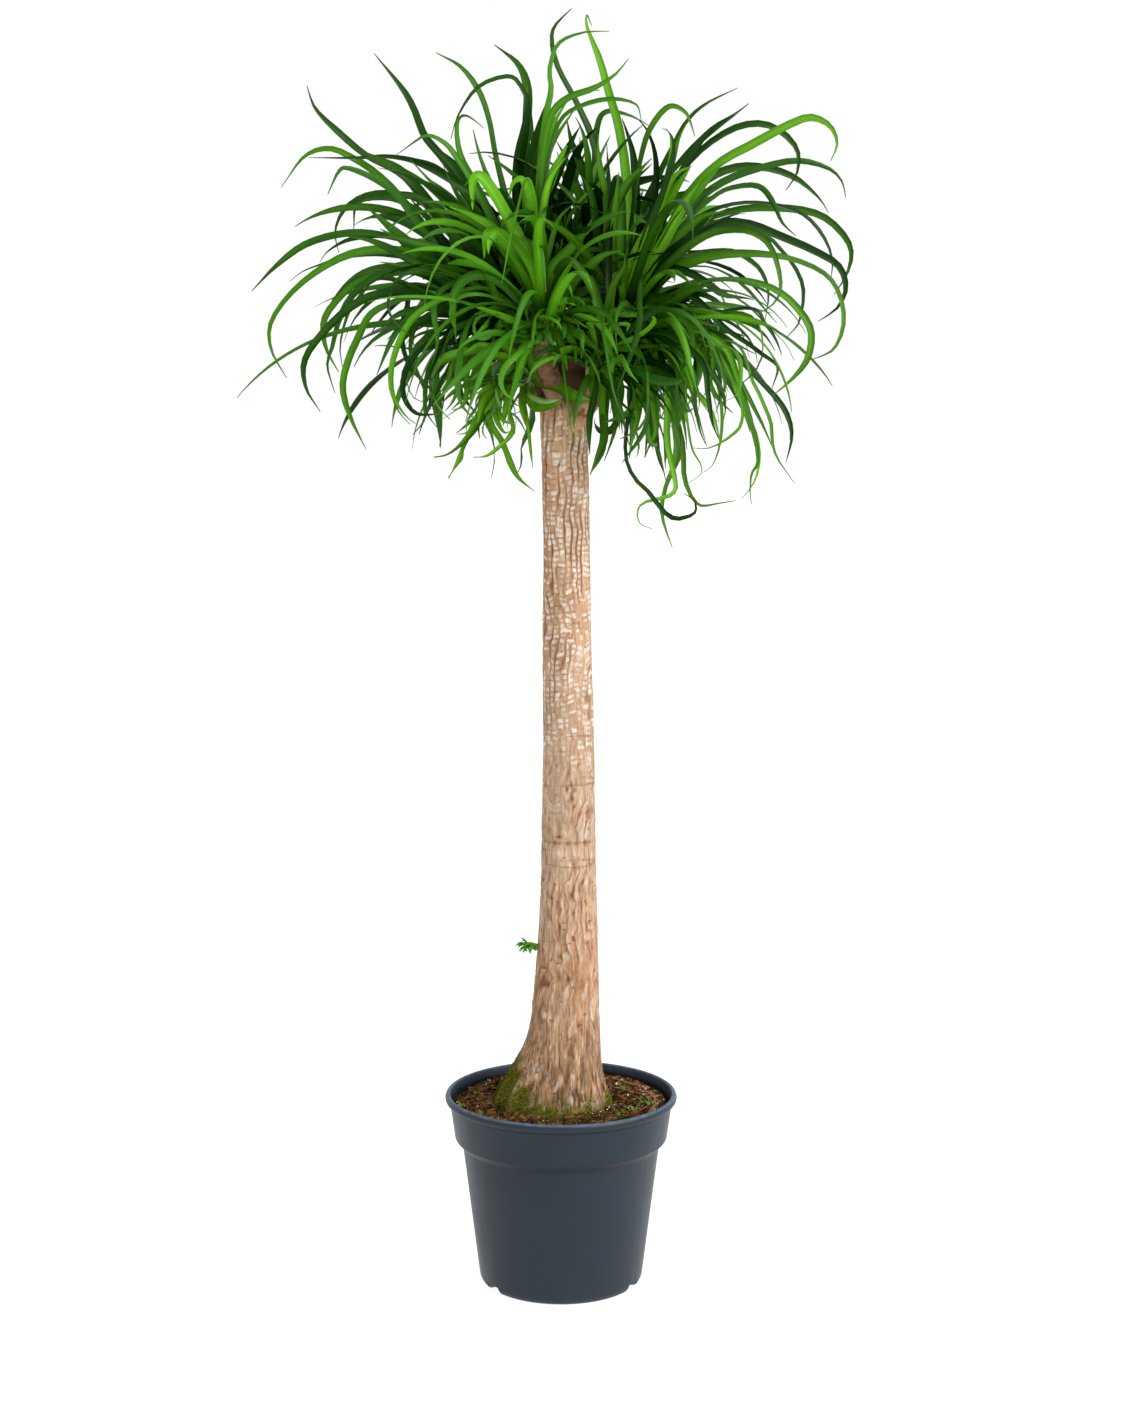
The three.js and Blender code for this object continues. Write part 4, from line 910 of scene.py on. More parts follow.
def core_shell(shells, name):
    """Stem of packed leaf bases: the solid's profile turned round, with nine leaf edges that wind
    up it as a wave of a fifth of its radius."""
    shoot = name == "shoot"
    outline = rounded(SHOOT_PROFILE if shoot else CORE_PROFILE, 5, 4)
    a = TURN * np.arange(36) / 36
    r = outline[:, :1] * (1 - 0.1 * (1 + np.cos(9 * a + outline[:, 1:] / 5)) / 2)
    rings = np.stack([r * np.cos(a), r * np.sin(a), np.tile(outline[:, 1:] + GAP, 36)], -1)
    shells.tube(rings + HEADS[name]["at"], tone=0.5, reach=0.02)


# Leaves that only the finish has. Each kind gives the spans of length, width, rise, fall and curl;
# each head how many of a kind it has and the turn that they fan over.
FILL_BROAD = ((170, 310), (17, 25), (40, 84), (-25, 60), (0, 15))
FILL_NEAR = ((130, 270), (12, 19), (5, 60), (-70, 0), (0, 25))
FILL_UP = ((180, 360), (12, 20), (60, 89), (-40, 60), (0, 20))
FILL_LONG = ((250, 370), (9, 14), (12, 70), (-85, -35), (0, 20))
FILL_SKIRT = ((120, 250), (11, 18), (-5, 55), (-190, -70), (35, 85))
FILL_DROOP = ((180, 320), (10, 16), (10, 65), (-170, -70), (25, 70))
FILL_COLLAR = ((50, 120), (9, 14), (-10, 60), (-80, -10), (0, 30))
FILL_KNOT = ((60, 130), (11, 17), (15, 70), (-95, -40), (0, 35))
FILL_YOUNG = ((70, 170), (7, 12), (-15, 65), (-190, -30), (30, 85))
FILL_LEAVES = {
    "front": ((12, (10, 170), FILL_BROAD), (8, (165, 375), FILL_NEAR), (10, (-20, 200), FILL_UP),
              (3, (190, 330), FILL_LONG), (12, (170, 300), FILL_SKIRT), (8, (200, 400), FILL_COLLAR),
              (14, (250, 375), FILL_KNOT)),
    "right": ((12, (-40, 150), FILL_BROAD), (10, (265, 440), FILL_NEAR), (8, (-20, 200), FILL_UP),
              (5, (300, 400), FILL_LONG), (12, (285, 420), FILL_DROOP), (8, (180, 330), FILL_COLLAR),
              (12, (165, 280), FILL_KNOT)),
    "low_right": ((6, (280, 400), FILL_NEAR), (18, (255, 400), FILL_SKIRT), (12, (280, 400), FILL_DROOP),
                  (12, (150, 330), FILL_KNOT)),
    "left": ((8, (100, 250), FILL_BROAD), (9, (90, 260), FILL_NEAR), (8, (0, 360), FILL_UP),
             (6, (140, 225), FILL_LONG), (5, (130, 250), FILL_SKIRT), (6, (140, 240), FILL_DROOP)),
    "back_left": ((14, (0, 360), FILL_BROAD), (13, (0, 180), FILL_NEAR), (18, (270, 450), FILL_UP),
                  (7, (75, 190), FILL_LONG), (11, (70, 190), FILL_SKIRT), (12, (60, 200), FILL_DROOP),
                  (8, (250, 400), FILL_KNOT)),
    "back_right": ((14, (0, 360), FILL_BROAD), (13, (0, 180), FILL_NEAR), (18, (120, 280), FILL_UP),
                   (7, (-10, 105), FILL_LONG), (11, (-20, 110), FILL_SKIRT), (12, (-20, 120), FILL_DROOP),
                   (8, (150, 290), FILL_KNOT)),
    "shoot": ((16, (150, 300), FILL_YOUNG),),
}
# The fill by rule stays in this egg round the heads.
CROWN_MIDDLE = np.array([8, 0, 1432])
CROWN_REACH = np.array([340, 340, 285])
# It keeps out of this box about the trunk: middle and half width across, top, and y at its back.
SHUN_X, SHUN_HALF, SHUN_TOP, SHUN_BACK = 6, 38, 1318, 40
FILL_SEED = 61
FILL_ROCK = 30
# A fill leaf is thin, with four points to a station, under this width.
THIN_WIDTH = 12
# Stations along a leaf of the solids, a fill leaf read one by one, and one by rule.
SOLID_STEPS, READ_STEPS, FILL_STEPS = 26, 22, 15
READ_ROLL, FILL_READ_TWIST = 64, 16
READ_WIDEN = 1.12
# Fill leaves read one by one, as the long leaves are: width, depth of the tip, how light its green
# is out of 100, which holds painted light and shade as well as the leaf's own green, then x and z
# from the tip back to the head.
FILL_READ = routes("""
front
4 -92 55 18 232 14 256 11 279 4 330
5 -78 55 -72 397 -62 438 -44 451 -23 452
left
8 30 55 -307 330 -312 365 -303 405 -288 430 -240 462
low_right
9 -70 55 249 150 222 146 195 145 176 180 168 250
9 -60 55 271 145 269 165 271 188 280 209 268 262 220 360
front
24 -118 90 -124 557 -123 595 -113 603 -96 582 -74 543 -50 496 -34 454
21 -92 85 -73 572 -67 593 -54 598 -43 572 -41 525 -34 473
21 -60 85 12 653 -10 610 -26 570 -31 525 -28 476
23 -140 80 -102 496 -100 515 -88 525 -67 506 -45 473 -32 439
20 -125 75 -92 530 -67 517 -47 486 -34 456 -28 431
15 -96 60 45 547 32 523 10 501 -10 480 -21 449
9 -80 60 20 567 -1 547 -13 515 -22 476
20 -112 75 21 424 7 431 -5 419 -14 399
15 -120 60 -36 331 -45 359 -52 386 -42 404
13 -110 60 59 356 35 376 10 394 -9 403
13 -130 60 -147 498 -118 486 -103 463 -89 431 -64 410
15 -112 60 85 501 60 494 39 478 15 456 -6 424
14 -118 60 9 334 2 361 -6 384 -13 394
12 -104 60 21 344 19 366 9 386 -4 398
right
26 -84 95 181 616 157 579 132 535 107 486 92 436
19 -62 80 214 550 172 510 137 473 106 434
17 -40 60 192 595 170 555 147 525 117 476 99 436
16 -96 60 122 622 99 602 79 572 71 535 72 481 77 424
14 -74 60 91 589 85 550 82 506 82 456 84 421
17 -120 60 110 266 113 316 108 356 98 381
17 -90 60 217 456 177 444 142 421 112 404
15 -70 60 215 396 170 406 130 399 104 394
14 -104 60 188 291 174 331 158 364 130 389
14 -96 60 150 301 143 336 125 366 104 384
12 -96 60 49 334 57 359 69 379 82 389
low_right
15 -128 60 10 494 21 484 39 457 51 424 53 379
11 -132 60 90 496 88 476 74 454 66 426 61 396 59 366
14 -118 60 78 301 69 324 63 344 58 359
13 -110 60 42 296 43 316 45 334
13 -124 60 86 281 85 306 77 334 64 354
shoot
22 -76 84 44 292 20 296 -1 308 -23 315 -39 326
14 -84 80 2 290 -15 283 -36 281 -44 296
13 -100 80 -128 321 -105 334 -80 338 -59 335
13 -110 80 -118 259 -110 291 -85 316 -62 331
12 -96 80 -82 256 -77 286 -65 311 -54 326
11 -90 80 -50 256 -55 286 -53 311
12 -106 80 -138 356 -115 369 -87 361 -65 344
left
9 -40 55 -214 258 -231 278 -241 309 -240 337 -233 362 -222 382 -199 403 -164 413
8 -62 50 -176 273 -200 273 -217 285 -224 306 -222 332 -211 351 -191 368 -160 379
9 -84 45 -210 244 -194 264 -193 292 -190 323 -182 346 -165 368 -150 379
8 -20 35 -186 281 -176 294 -192 316 -212 336 -223 365 -224 397 -217 422 -199 436
7 -70 40 -188 316 -171 334 -162 355 -161 376 -154 397
7 -56 50 -203 360 -209 374 -203 383 -185 389 -164 395
shoot
9 -66 50 -177 296 -167 308 -158 323 -154 343 -143 360 -124 376 -100 379
11 -80 45 -164 277 -154 289 -147 306 -146 327 -134 351 -112 368
12 -96 60 -154 278 -139 284 -133 304 -133 329 -123 351 -100 365
7 -70 45 -161 182 -149 199 -141 210 -139 225 -123 253 -113 278 -101 306
8 -84 55 -182 212 -163 215 -146 226 -129 246 -115 268 -101 298
8 -92 60 -146 244 -133 247 -121 261 -109 281 -92 306
6 -96 65 -124 212 -105 213 -87 226 -72 244 -68 258 -75 281 -79 301
10 -88 60 -40 165 -61 184 -75 213 -85 236 -98 256 -103 281 -89 309
6 -60 60 -40 196 -44 229 -47 257 -52 285 -57 309
11 -104 75 -68 258 -82 264 -89 280 -88 298 -72 318
10 -110 65 -70 249 -81 247 -91 264 -95 287 -78 315
15 -108 85 -117 346 -98 353 -76 351 -58 340
14 -116 75 -120 301 -100 311 -79 323 -59 334
15 -100 80 -109 274 -95 289 -75 309 -57 326
13 -112 60 -79 292 -69 306 -58 323
13 -96 70 -106 371 -86 368 -66 357 -54 343
13 -84 50 -129 292 -125 320 -114 346 -93 360 -69 354
low_right
15 -136 85 98 222 106 257 110 292 112 323 106 360 95 379
15 -120 45 41 186 51 210 61 236 62 267 65 298 61 323
11 -112 35 41 215 40 243 41 271 47 299
8 -124 50 61 205 72 236 79 264 79 292 72 315
11 -128 70 119 210 125 227 135 247 132 278 126 309 112 337
11 -104 45 149 179 141 210 132 239 128 271 120 304 106 334
13 -116 60 142 134 147 165 159 196 165 225 163 253 156 292 137 329
right
14 -130 80 193 289 185 313 177 337 164 360 143 376
low_right
8 -96 55 179 222 176 250 169 281 156 312 134 340
6 -80 65 207 227 200 250 190 281 168 312 140 340
11 -110 98 226 232 220 257 210 281 190 304 157 329
right
10 -120 60 198 292 208 309 214 334 215 362 205 388 179 402
12 -110 45 280 230 271 261 261 289 249 315 233 343 210 369 179 388
11 -90 50 300 226 286 257 271 285 255 315 236 348 213 376 182 396
9 -70 40 302 362 288 383 267 399 241 407 207 413
11 -134 70 266 273 256 304 247 334 235 362 213 382 182 393
12 -140 75 219 395 185 403 151 402 120 395
13 -136 60 203 354 182 369 154 378 126 381
13 -126 55 160 287 153 312 141 337 127 360 112 374
12 -140 65 139 287 132 315 122 343 109 365
13 -118 50 193 309 180 334 161 357 137 372
12 -100 45 234 295 219 325 201 350 177 369 145 379
10 -84 30 274 357 250 369 224 383 196 393
front
15 -136 40 81 340 66 369 58 407 48 438 34 466 14 485 -1 477 -13 446
right
13 -140 80 74 329 69 362 68 402 70 435 79 466 86 438
back_left
25 20 25 -47 724 -46 697 -52 664 -60 623 -59 571 -49 502
20 10 40 -14 727 -18 705 -27 678 -36 645 -43 605 -43 543 -38 481
14 0 45 54 721 31 719 7 706 -11 689 -24 661 -31 626 -34 571 -34 502
front
16 -40 75 10 708 -6 683 -17 658 -25 628 -29 584 -31 515
11 -30 50 24 702 7 678 -7 656 -17 631 -22 598 -27 529
back_right
17 -20 50 8 682 14 653 25 626 38 595 45 557 49 495
right
13 -60 60 52 661 52 637 56 609 62 576 63 536 65 481
back_right
15 20 10 85 683 94 658 101 631 104 595 104 560 100 508 86 453
right
16 -84 50 127 628 111 612 94 590 79 562 69 526 66 481
12 -90 60 81 609 77 571 73 532 72 485
back_right
12 10 15 105 684 120 667 131 639 134 604 129 562 115 508
right
9 -30 70 141 669 151 663 154 645 151 617 143 582 128 536
10 -20 60 180 683 166 658 159 632 150 602 137 562 119 507
20 -90 95 183 617 164 608 150 587 139 557 125 515 107 463
18 -100 90 196 597 177 571 161 543 141 507 114 460
16 -80 60 229 555 201 549 178 532 156 508 131 474 106 435
back_right
14 30 10 247 691 219 675 198 656 185 635 169 609 153 573 128 515
back_left
19 -10 35 -191 658 -180 645 -164 631 -146 615 -127 590 -102 554 -74 504
14 -24 30 -250 631 -222 628 -196 620 -172 609 -146 593 -116 571 -86 535
left
17 10 45 -302 653 -280 637 -255 626 -231 615 -210 597 -188 571 -160 536 -122 488
13 -30 40 -271 569 -240 576 -210 576 -184 566 -160 550 -138 528 -108 488
15 -50 20 -212 573 -191 550 -174 526 -157 499 -138 466 -109 427
15 -70 50 -189 569 -168 549 -152 521 -135 488 -108 446
15 -90 45 -303 521 -268 515 -238 502 -208 485 -174 467 -137 445 -103 421
13 -100 60 -257 521 -226 518 -195 510 -162 500 -128 482 -97 452
14 -110 55 -255 485 -222 479 -189 470 -158 456 -125 435 -97 410
12 -84 35 -323 431 -304 453 -279 470 -246 478 -211 474 -175 459 -134 429
front
14 -110 80 -156 561 -128 551 -98 535 -76 510 -56 477 -41 441
left
11 -130 65 -159 499 -129 490 -108 468 -96 438 -80 407
""")


def fill_leaves(name, random, share):
    """More leaves of one head, bent by the same rule as the broad ones, with a curl. One that would
    leave the egg round the crown or cross the trunk's front is drawn again."""
    out = []
    for count, turns, spans in FILL_LEAVES[name]:
        made, wanted = 0, round(count * share)
        for _ in range(wanted * 12):
            if made == wanted:
                break
            length, rise, fall, curl = (random.pick(spans[k]) for k in (0, 2, 3, 4))
            ease, turn, sweep = random.pick((0.7, 1.9)), random.pick(turns), random.pick((-36, 36))
            line, bends = rule_line(root_point(name, rise, turn * RAD), length, rise, fall, ease,
                                    turn, sweep, curl, random.pick((0, TURN)))
            leaf = dict(width=random.pick(spans[1]), twist=random.pick((-110, 110)),
                        roll=random.pick((-40, 40)), rock=FILL_ROCK, full=True, line=line, turns=bends)
            inside = (((line - CROWN_MIDDLE) / CROWN_REACH) ** 2).sum(1).max() < 1
            near = ((np.abs(line[:, 0] - SHUN_X) < SHUN_HALF) & (line[:, 2] < SHUN_TOP)
                    & (line[:, 1] < SHUN_BACK))
            if inside and not near.any():
                out.append(leaf)
                made += 1
    return out


def section_at(z):
    """The trunk's middle and half widths at any height: cubic spans through the sections, with the
    slope at each taken from its neighbours."""
    rows = TRUNK_SECTIONS
    slopes = np.gradient(rows[:, 1:], rows[:, 0], axis=0)
    i = np.clip(np.searchsorted(rows[:, 0], z, side="right") - 1, 0, len(rows) - 2)
    long = rows[i + 1, 0] - rows[i, 0]
    t = ((z - rows[i, 0]) / long)[:, None]
    long = long[:, None]
    a, b = rows[i, 1:], rows[i + 1, 1:]
    return ((1 + 2 * t) * (1 - t) ** 2 * a + t * (1 - t) ** 2 * long * slopes[i]
            + t * t * (3 - 2 * t) * b + t * t * (t - 1) * long * slopes[i + 1])


# Seeds of what lies on the soil, of the moss and weeds, and of the leaves' tones.
SOIL_SEED, MOSS_SEED, TONE_SEED = 11, 23, 5
# Heights that moss tufts grow between, and the height that stands for the moss on the soil.
MOSS_SPAN, MOSS_AT_SOIL = (256, 365), 262.0
# Moss on the foot: turn in degrees, height, and how far it spreads each way.
MOSS_PATCHES = ((190, 296, 44, 52), (232, 284, 24, 30), (252, 262, 36, 22), (290, 260, 60, 13),
                (350, 268, 16, 22), (140, 275, 34, 34), (75, 262, 30, 12))
# Turn of the foot's front in degrees, where a thin veil of moss runs along the soil.
MOSS_FRONT = 262
CRACK_COLUMNS = 21
PATCH_ROW = 8
RING_HEIGHTS = (600, 628, 633, 649, 661, 706, 744, 812)


def moss_at(a, z):
    """0 to 1: the most of what each round patch gives, full in its middle and none at its edge,
    which upright noise makes ragged. A thin veil of it lies along the front of the foot."""
    cover = np.full(np.broadcast(a, z).shape, -1.0)
    for middle, height, wide, tall in MOSS_PATCHES:
        away = (np.mod(a / RAD - middle + 180, 360) - 180) / wide
        cover = np.maximum(cover, 1 - away ** 2 - ((z - height) / tall) ** 2)
    turn = a / TURN
    ragged = waves(turn * 44, z / 24, 31, 44) + 0.6 * waves(turn * 110, z / 9, 32, 110) - 0.8
    thick = np.clip(1.3 * cover + 0.9 * ragged * (cover > -0.4), 0, 1) * (cover > -0.25)
    front = smooth_step(np.abs(np.mod(a / RAD - MOSS_FRONT + 180, 360) - 180), 100, 50)
    return np.maximum(thick, (0.66 + 0.4 * ragged) * front * smooth_step(z, 322, 264))


def bark(a, z):
    """How far the bark stands out in mm, and its pale patches, cracks and scars as 0 to 1.

    The cracks are the lines where a count of 21 columns round the trunk, pushed sideways by three
    noises, is a whole number: about 10 mm apart, wandering, and looping where the push is strong.
    They are weaker below some 1 m of height. Above, small cork patches stand in rows 8 mm tall
    between them, each a rounded rectangle of its own size. Below, upright noise makes fine ridges,
    and on the flare long ones, with pits and ring scars. The pale values also hold a painted
    highlight on one flank of the cracks and on the ridges' crests, and the values of the cracks a
    painted shade in the ridges' hollows."""
    turn = a / TURN
    upper = smooth_step(z + 130 * (waves(turn * 6, z / 70, 2, 6) - 0.5), 640, 900)
    top = smooth_step(z, 1240, 1296)
    push = (1.9 * (waves(turn * 6, z / 80, 1, 6) - 0.5) + 0.9 * (waves(turn * 15, z / 27, 3, 15) - 0.5)
            + 0.35 * (waves(turn * 34, z / 11, 4, 34) - 0.5))
    flare = 1 - smooth_step(z, 290, 440)
    u = turn * CRACK_COLUMNS + push * (1.5 - 0.5 * upper - 0.9 * flare)
    column = np.floor(u)
    place = u - column
    column = np.mod(column, CRACK_COLUMNS)
    edge = np.minimum(place, 1 - place)
    old = smooth_step(z, 900, 1120)
    strong = smooth_step(waves(turn * 17, z / 58, 5, 17), 0.2 + 0.22 * (1 - old),
                         0.54 + 0.06 * (1 - old))
    wide = 0.09 + 0.12 * waves(turn * 30, z / 24, 6, 30)
    split = strong * (1 - smooth_step(edge, 0.3 * wide, 1.5 * wide))
    split = split * (1 - 0.8 * flare) * (0.6 + 0.4 * old)

    v = z / PATCH_ROW + 9 * lattice(column, 0, 7) + 1.1 * waves(turn * 15, z / 34, 8, 15)
    row = np.floor(v)
    own, size = lattice(column, row, 9), lattice(column, row, 10)
    ragged = 0.3 * (waves(turn * 110, z / 2.6, 11, 110) - 0.5)
    across = np.abs(place - 0.5 - 0.2 * (size - 0.5)) / (0.17 + 0.27 * own)
    upright = np.abs(v - row - 0.5) / (0.2 + 0.28 * lattice(column, row, 12))
    group = waves(turn * 7, z / 46, 13, 7) + 0.5 * (np.cos(a + 1.0) * 0.5 + 0.5)
    there = (0.4 + 0.6 * own) * smooth_step(size + 0.9 * (group - 0.7), 0.36, 0.48)
    patch = there * (1 - smooth_step(np.maximum(across, upright) + ragged, 0.76, 1.12))
    patch = patch * upper * (1 - top) * (1 - split)
    step = (1 - smooth_step(np.abs(v - row - 0.02), 0.03, 0.13)) * (lattice(column, row, 14) > 0.62)

    grain = waves(turn * 150, z / 5, 15, 150) - 0.5
    ridge = waves(turn * 52 + push, z / 34, 16, 52) * flare - 0.5
    ridge = ridge + waves(turn * 52 + 1.6 * push, z / 15, 25, 52) * (1 - flare)
    fine = waves(turn * 104 + 1.5 * push, z / 11, 17, 104) - 0.5
    rings = np.zeros_like(z)
    for height in RING_HEIGHTS:
        line = height + 9 * (waves(turn * 5, z * 0 + height, 18, 5) - 0.5)
        seen = smooth_step(waves(turn * 6, z * 0 + height / 7, 19, 6), 0.3, 0.6)
        rings = np.maximum(rings, seen * np.exp(-((z - line) / 1.5) ** 2))
    pits = smooth_step(waves(turn * 58, z / 5, 20, 58), 0.86, 0.97) * (1 - 0.7 * upper)
    lower = 1 - upper
    out = (0.55 * grain - 1.7 * split + 0.5 * patch - 0.5 * step * upper
           + lower * (1.5 * ridge + 1.1 * fine) + 0.5 * upper * ridge - 1.2 * pits - 0.8 * rings)
    # Painted shade in the hollows between the ridges, lower down, which goes in with the cracks.
    shade = 0.5 * smooth_step(-ridge - 0.8 * fine, 0.16, 0.5) * lower
    crack = np.clip(0.95 * split + shade + pits + 0.5 * rings + 0.5 * step * upper, 0, 1)
    # A painted highlight on one flank of the cracks, and one on the ridges' crests lower down, go in with
    # the pale patches.
    flank = smooth_step(place, 0.1, 0.2) * (1 - smooth_step(place, 0.24, 0.42)) * strong
    light = np.clip(patch + 0.3 * flank * (1 - flare)
                    + 0.36 * lower * smooth_step(ridge + 0.8 * fine, 0.16, 0.5), 0, 1)
    return out, light * (1 - crack), crack, smooth_step(z + 14 * grain, 1270, 1300)


# Height where the fine rows of the bark begin, and the middle of the trunk's top.
BARK_FOOT = 252
STUMP_MIDDLE = np.array([5, TRUNK_Y, TRUNK_TOP])


def trunk_rings(columns, low_rows, high_rows):
    """The trunk as rings from its buried foot, with few rows, to the stump: the section's ellipse,
    waved as in the solid, with the bark on it, and rings that draw in over the broken top."""
    z = np.concatenate([np.linspace(TRUNK_SECTIONS[0, 0], BARK_FOOT, low_rows, endpoint=False),
                        np.linspace(BARK_FOOT, TRUNK_TOP, high_rows)])
    middle, across, deep = section_at(z).T[:, :, None]
    a = np.broadcast_to(TURN * np.arange(columns) / columns, (len(z), columns))
    z = np.broadcast_to(z[:, None], a.shape)
    out, light, crack, scar = bark(a, z)
    flare = 1 - smooth_step(z, 270, 420)
    wave = trunk_wave(a, z, RIB_DEPTH * flare)
    folds = np.cos(23 * a + 2 * waves(a / TURN * 8, z / 40, 14, 8))
    out = out - 1.1 * flare * smooth_step(folds, 0.2, 1)
    rings = np.stack([middle + (across * wave + out) * np.cos(a),
                      TRUNK_Y + (deep * wave + out) * np.sin(a), z], -1)
    shrink = np.array([1.04, 1.0, 0.84, 0.5])
    top = (rings[-1] - STUMP_MIDDLE) * [1, 1, 0]
    turns = np.broadcast_to(a[0] / TURN * 16, (len(shrink), columns))
    rough = 6 * (waves(turns, shrink[:, None] * 6, 15, 16) - 0.5)
    lean = np.array([1.5, 4, 7, 9])
    caps = top * shrink[:, None, None] + STUMP_MIDDLE + np.stack([lean, 0 * lean, 4 * lean], 1)[:, None]
    caps[..., 2] += rough
    values = [np.concatenate([v.ravel(), np.full(rough.size, last), [0.0, last]])
              for v, last in ((light, 0), (crack, 0.3), (scar, 1), (moss_at(a, z), 0))]
    return np.concatenate([rings, caps]), dict(zip(("plate", "crack", "scar", "moss"), values))


def stub_rings(name, sides, count=34):
    """A stub from inside the trunk to the flat foot of its head: scaly bark, as noise on the rings
    along and across it, with its cracks where the noise is low. Also gives those as 0 to 1."""
    line, u = stations(smooth_line(stub_path(name), 8), count)
    r = HEADS[name]["radius"] * np.interp(u, [0, 0.2, 0.5, 0.75, 1], [1.15, 1.1, 1, 1, 0.96])
    rings = rod(line, r, sides)
    a = np.broadcast_to(np.arange(sides) / sides, rings.shape[:2])
    run = np.broadcast_to((u * np.sqrt((np.diff(line, axis=0) ** 2).sum(1)).sum())[:, None], a.shape)
    scales = waves(a * 9, run / 7, 41, 9) + 0.5 * waves(a * 24, run / 3, 42, 24) - 0.75
    out = 3.2 * scales * np.sin(math.pi * np.minimum(1, 1.15 * (1 - u)))[:, None]
    rings = rings + unit(rings - line[:, None]) * out[..., None]
    rings[-1] = line[-1] + ring_of(r[-1], 0, sides)
    return rings, np.append(smooth_step(-scales, 0.0, 0.45).ravel(), [0.5, 0.5])


# ---------- soil and what lies on it
def soil_height(x, y):
    """Height of the peat: the solid's slow lumps, which are sines of the turn and the radius, less
    a little at the wall, with two octaves of noise for the crumbs."""
    r, a = np.hypot(x, y), np.arctan2(y, x)
    edge = smooth_step(r, 128, 157)
    lump = SOIL_LUMP * (0.45 * np.sin(3 * a + r / 21) + 0.35 * np.sin(5 * a - r / 13)
                        + 0.3 * np.cos(r / 9 + 2 * a))
    crumbs = 4.2 * (waves(x / 13, y / 13, 21) - 0.5) + 2.6 * (waves(x / 5, y / 5, 22) - 0.5)
    fine = 1.3 * (waves(x / 2.2, y / 2.2, 23) - 0.5)
    return (SOIL_TOP + SOIL_TILT * y - 1.5 * edge + lump * (1 - 0.4 * edge)
            + (crumbs + fine) * (1 - 0.5 * edge))


def soil_rings(columns, rows):
    """Rings of the peat: up the pot's inner wall, in over the top, and down round the trunk's foot
    to the floor of its hole."""
    wall = [(BODY_FOOT - WALL - GAP + 0.2, 16.2), (BODY_TOP - WALL - 2 * GAP, 207.5),
            (COLLAR_FOOT - WALL - 2 * GAP, 220), (157, 254)]
    a = TURN * np.arange(columns) / columns
    rings = [ring_of(r, z, columns) for r, z in wall]
    foot = trunk_ring((SOIL_TOP, *section_at(np.array([float(SOIL_TOP)]))[0]), a, 0.5)[:, :2]
    rim = ring_of(SOIL_RADIUS, 0, columns)[:, :2]
    t = (np.linspace(0, 1, rows) ** 0.92)[:, None, None]
    flat = rim * (1 - t) + foot * t
    top = np.concatenate([flat, soil_height(flat[..., 0], flat[..., 1])[..., None]], -1)
    rings += list(top)
    for z in (252, 236, 214, 200):
        rings.append(trunk_ring((z, *section_at(np.array([float(z)]))[0]), a, 0.7) - [0, 0, GAP])
    return np.stack(rings)


# Small shapes as corners and faces: a box with its corners pushed in and out, a ball of twenty
# faces and a pointed tuft.
PUSHED = 1 + 0.18 * np.array([[1], [-1], [0.3], [1], [-0.8], [0.5], [-1], [0]])
CHIP = (np.array([(x, y, z) for z in (-1, 1) for y in (-1, 1) for x in (-1, 1)], float) * PUSHED,
        np.array([(0, 2, 3, 1), (4, 5, 7, 6), (0, 1, 5, 4), (2, 6, 7, 3), (0, 4, 6, 2), (1, 3, 7, 5)]))
GOLD = (1 + 5 ** 0.5) / 2
BALL = (unit(np.array([(-1, GOLD, 0), (1, GOLD, 0), (-1, -GOLD, 0), (1, -GOLD, 0), (0, -1, GOLD),
                      (0, 1, GOLD), (0, -1, -GOLD), (0, 1, -GOLD), (GOLD, 0, -1), (GOLD, 0, 1),
                      (-GOLD, 0, -1), (-GOLD, 0, 1)], float)), np.array([
    (0, 11, 5), (0, 5, 1), (0, 1, 7), (0, 7, 10), (0, 10, 11), (1, 5, 9), (5, 11, 4), (11, 10, 2),
    (10, 7, 6), (7, 1, 8), (3, 9, 4), (3, 4, 2), (3, 2, 6), (3, 6, 8), (3, 8, 9), (4, 9, 5), (2, 4, 11),
    (6, 2, 10), (8, 6, 7), (9, 8, 1)]))
TUFT = (np.vstack([ring_of(0.5, 0, 4), ring_of(0.42, 0.5, 4), [(0, 0, 1), (0, 0, -0.3)]]), np.array([
    (0, 1, 5), (0, 5, 4), (1, 2, 6), (1, 6, 5), (2, 3, 7), (2, 7, 6), (3, 0, 4), (3, 4, 7),
    (4, 5, 8), (5, 6, 8), (6, 7, 8), (7, 4, 8), (1, 0, 9), (2, 1, 9), (3, 2, 9), (0, 3, 9)]))
# A full turn, nearly, for the spin of strewn bits.
SPIN = 6.3


def placings(ups, spins, sizes):
    """Matrices that stand a small shape along each up, spun about it and sized on its own axes."""
    up = unit(ups)
    lead = np.where(np.abs(up[:, :1]) > 0.8, [0.0, 1.0, 0.0], [1.0, 0.0, 0.0])
    u = unit(np.cross(lead, up))
    v = np.cross(up, u)
    c, s = np.cos(spins)[:, None], np.sin(spins)[:, None]
    return np.stack([u * c + v * s, v * c - u * s, up], 2) * np.asarray(sizes)[:, None, :]


# Middle of the trunk's foot.
FOOT_X = -13


def on_soil(dice, count, low=60, high=154):
    """So many random places on the peat that lie between the trunk's foot and the wall."""
    x, y = dice.uniform(-high, high, (2, 12 * count))
    foot = ((x - FOOT_X) / (low + 28)) ** 2 + ((y - TRUNK_Y) / (low + 6)) ** 2
    keep = np.flatnonzero((np.hypot(x, y) < high) & (foot > 1))[:count]
    x, y = x[keep], y[keep]
    return np.stack([x, y, soil_height(x, y)], 1)


def tilts(dice, count, spread):
    """Ways up that lean at random."""
    return np.stack([dice.normal(0, spread, count), dice.normal(0, spread, count), np.ones(count)], 1)


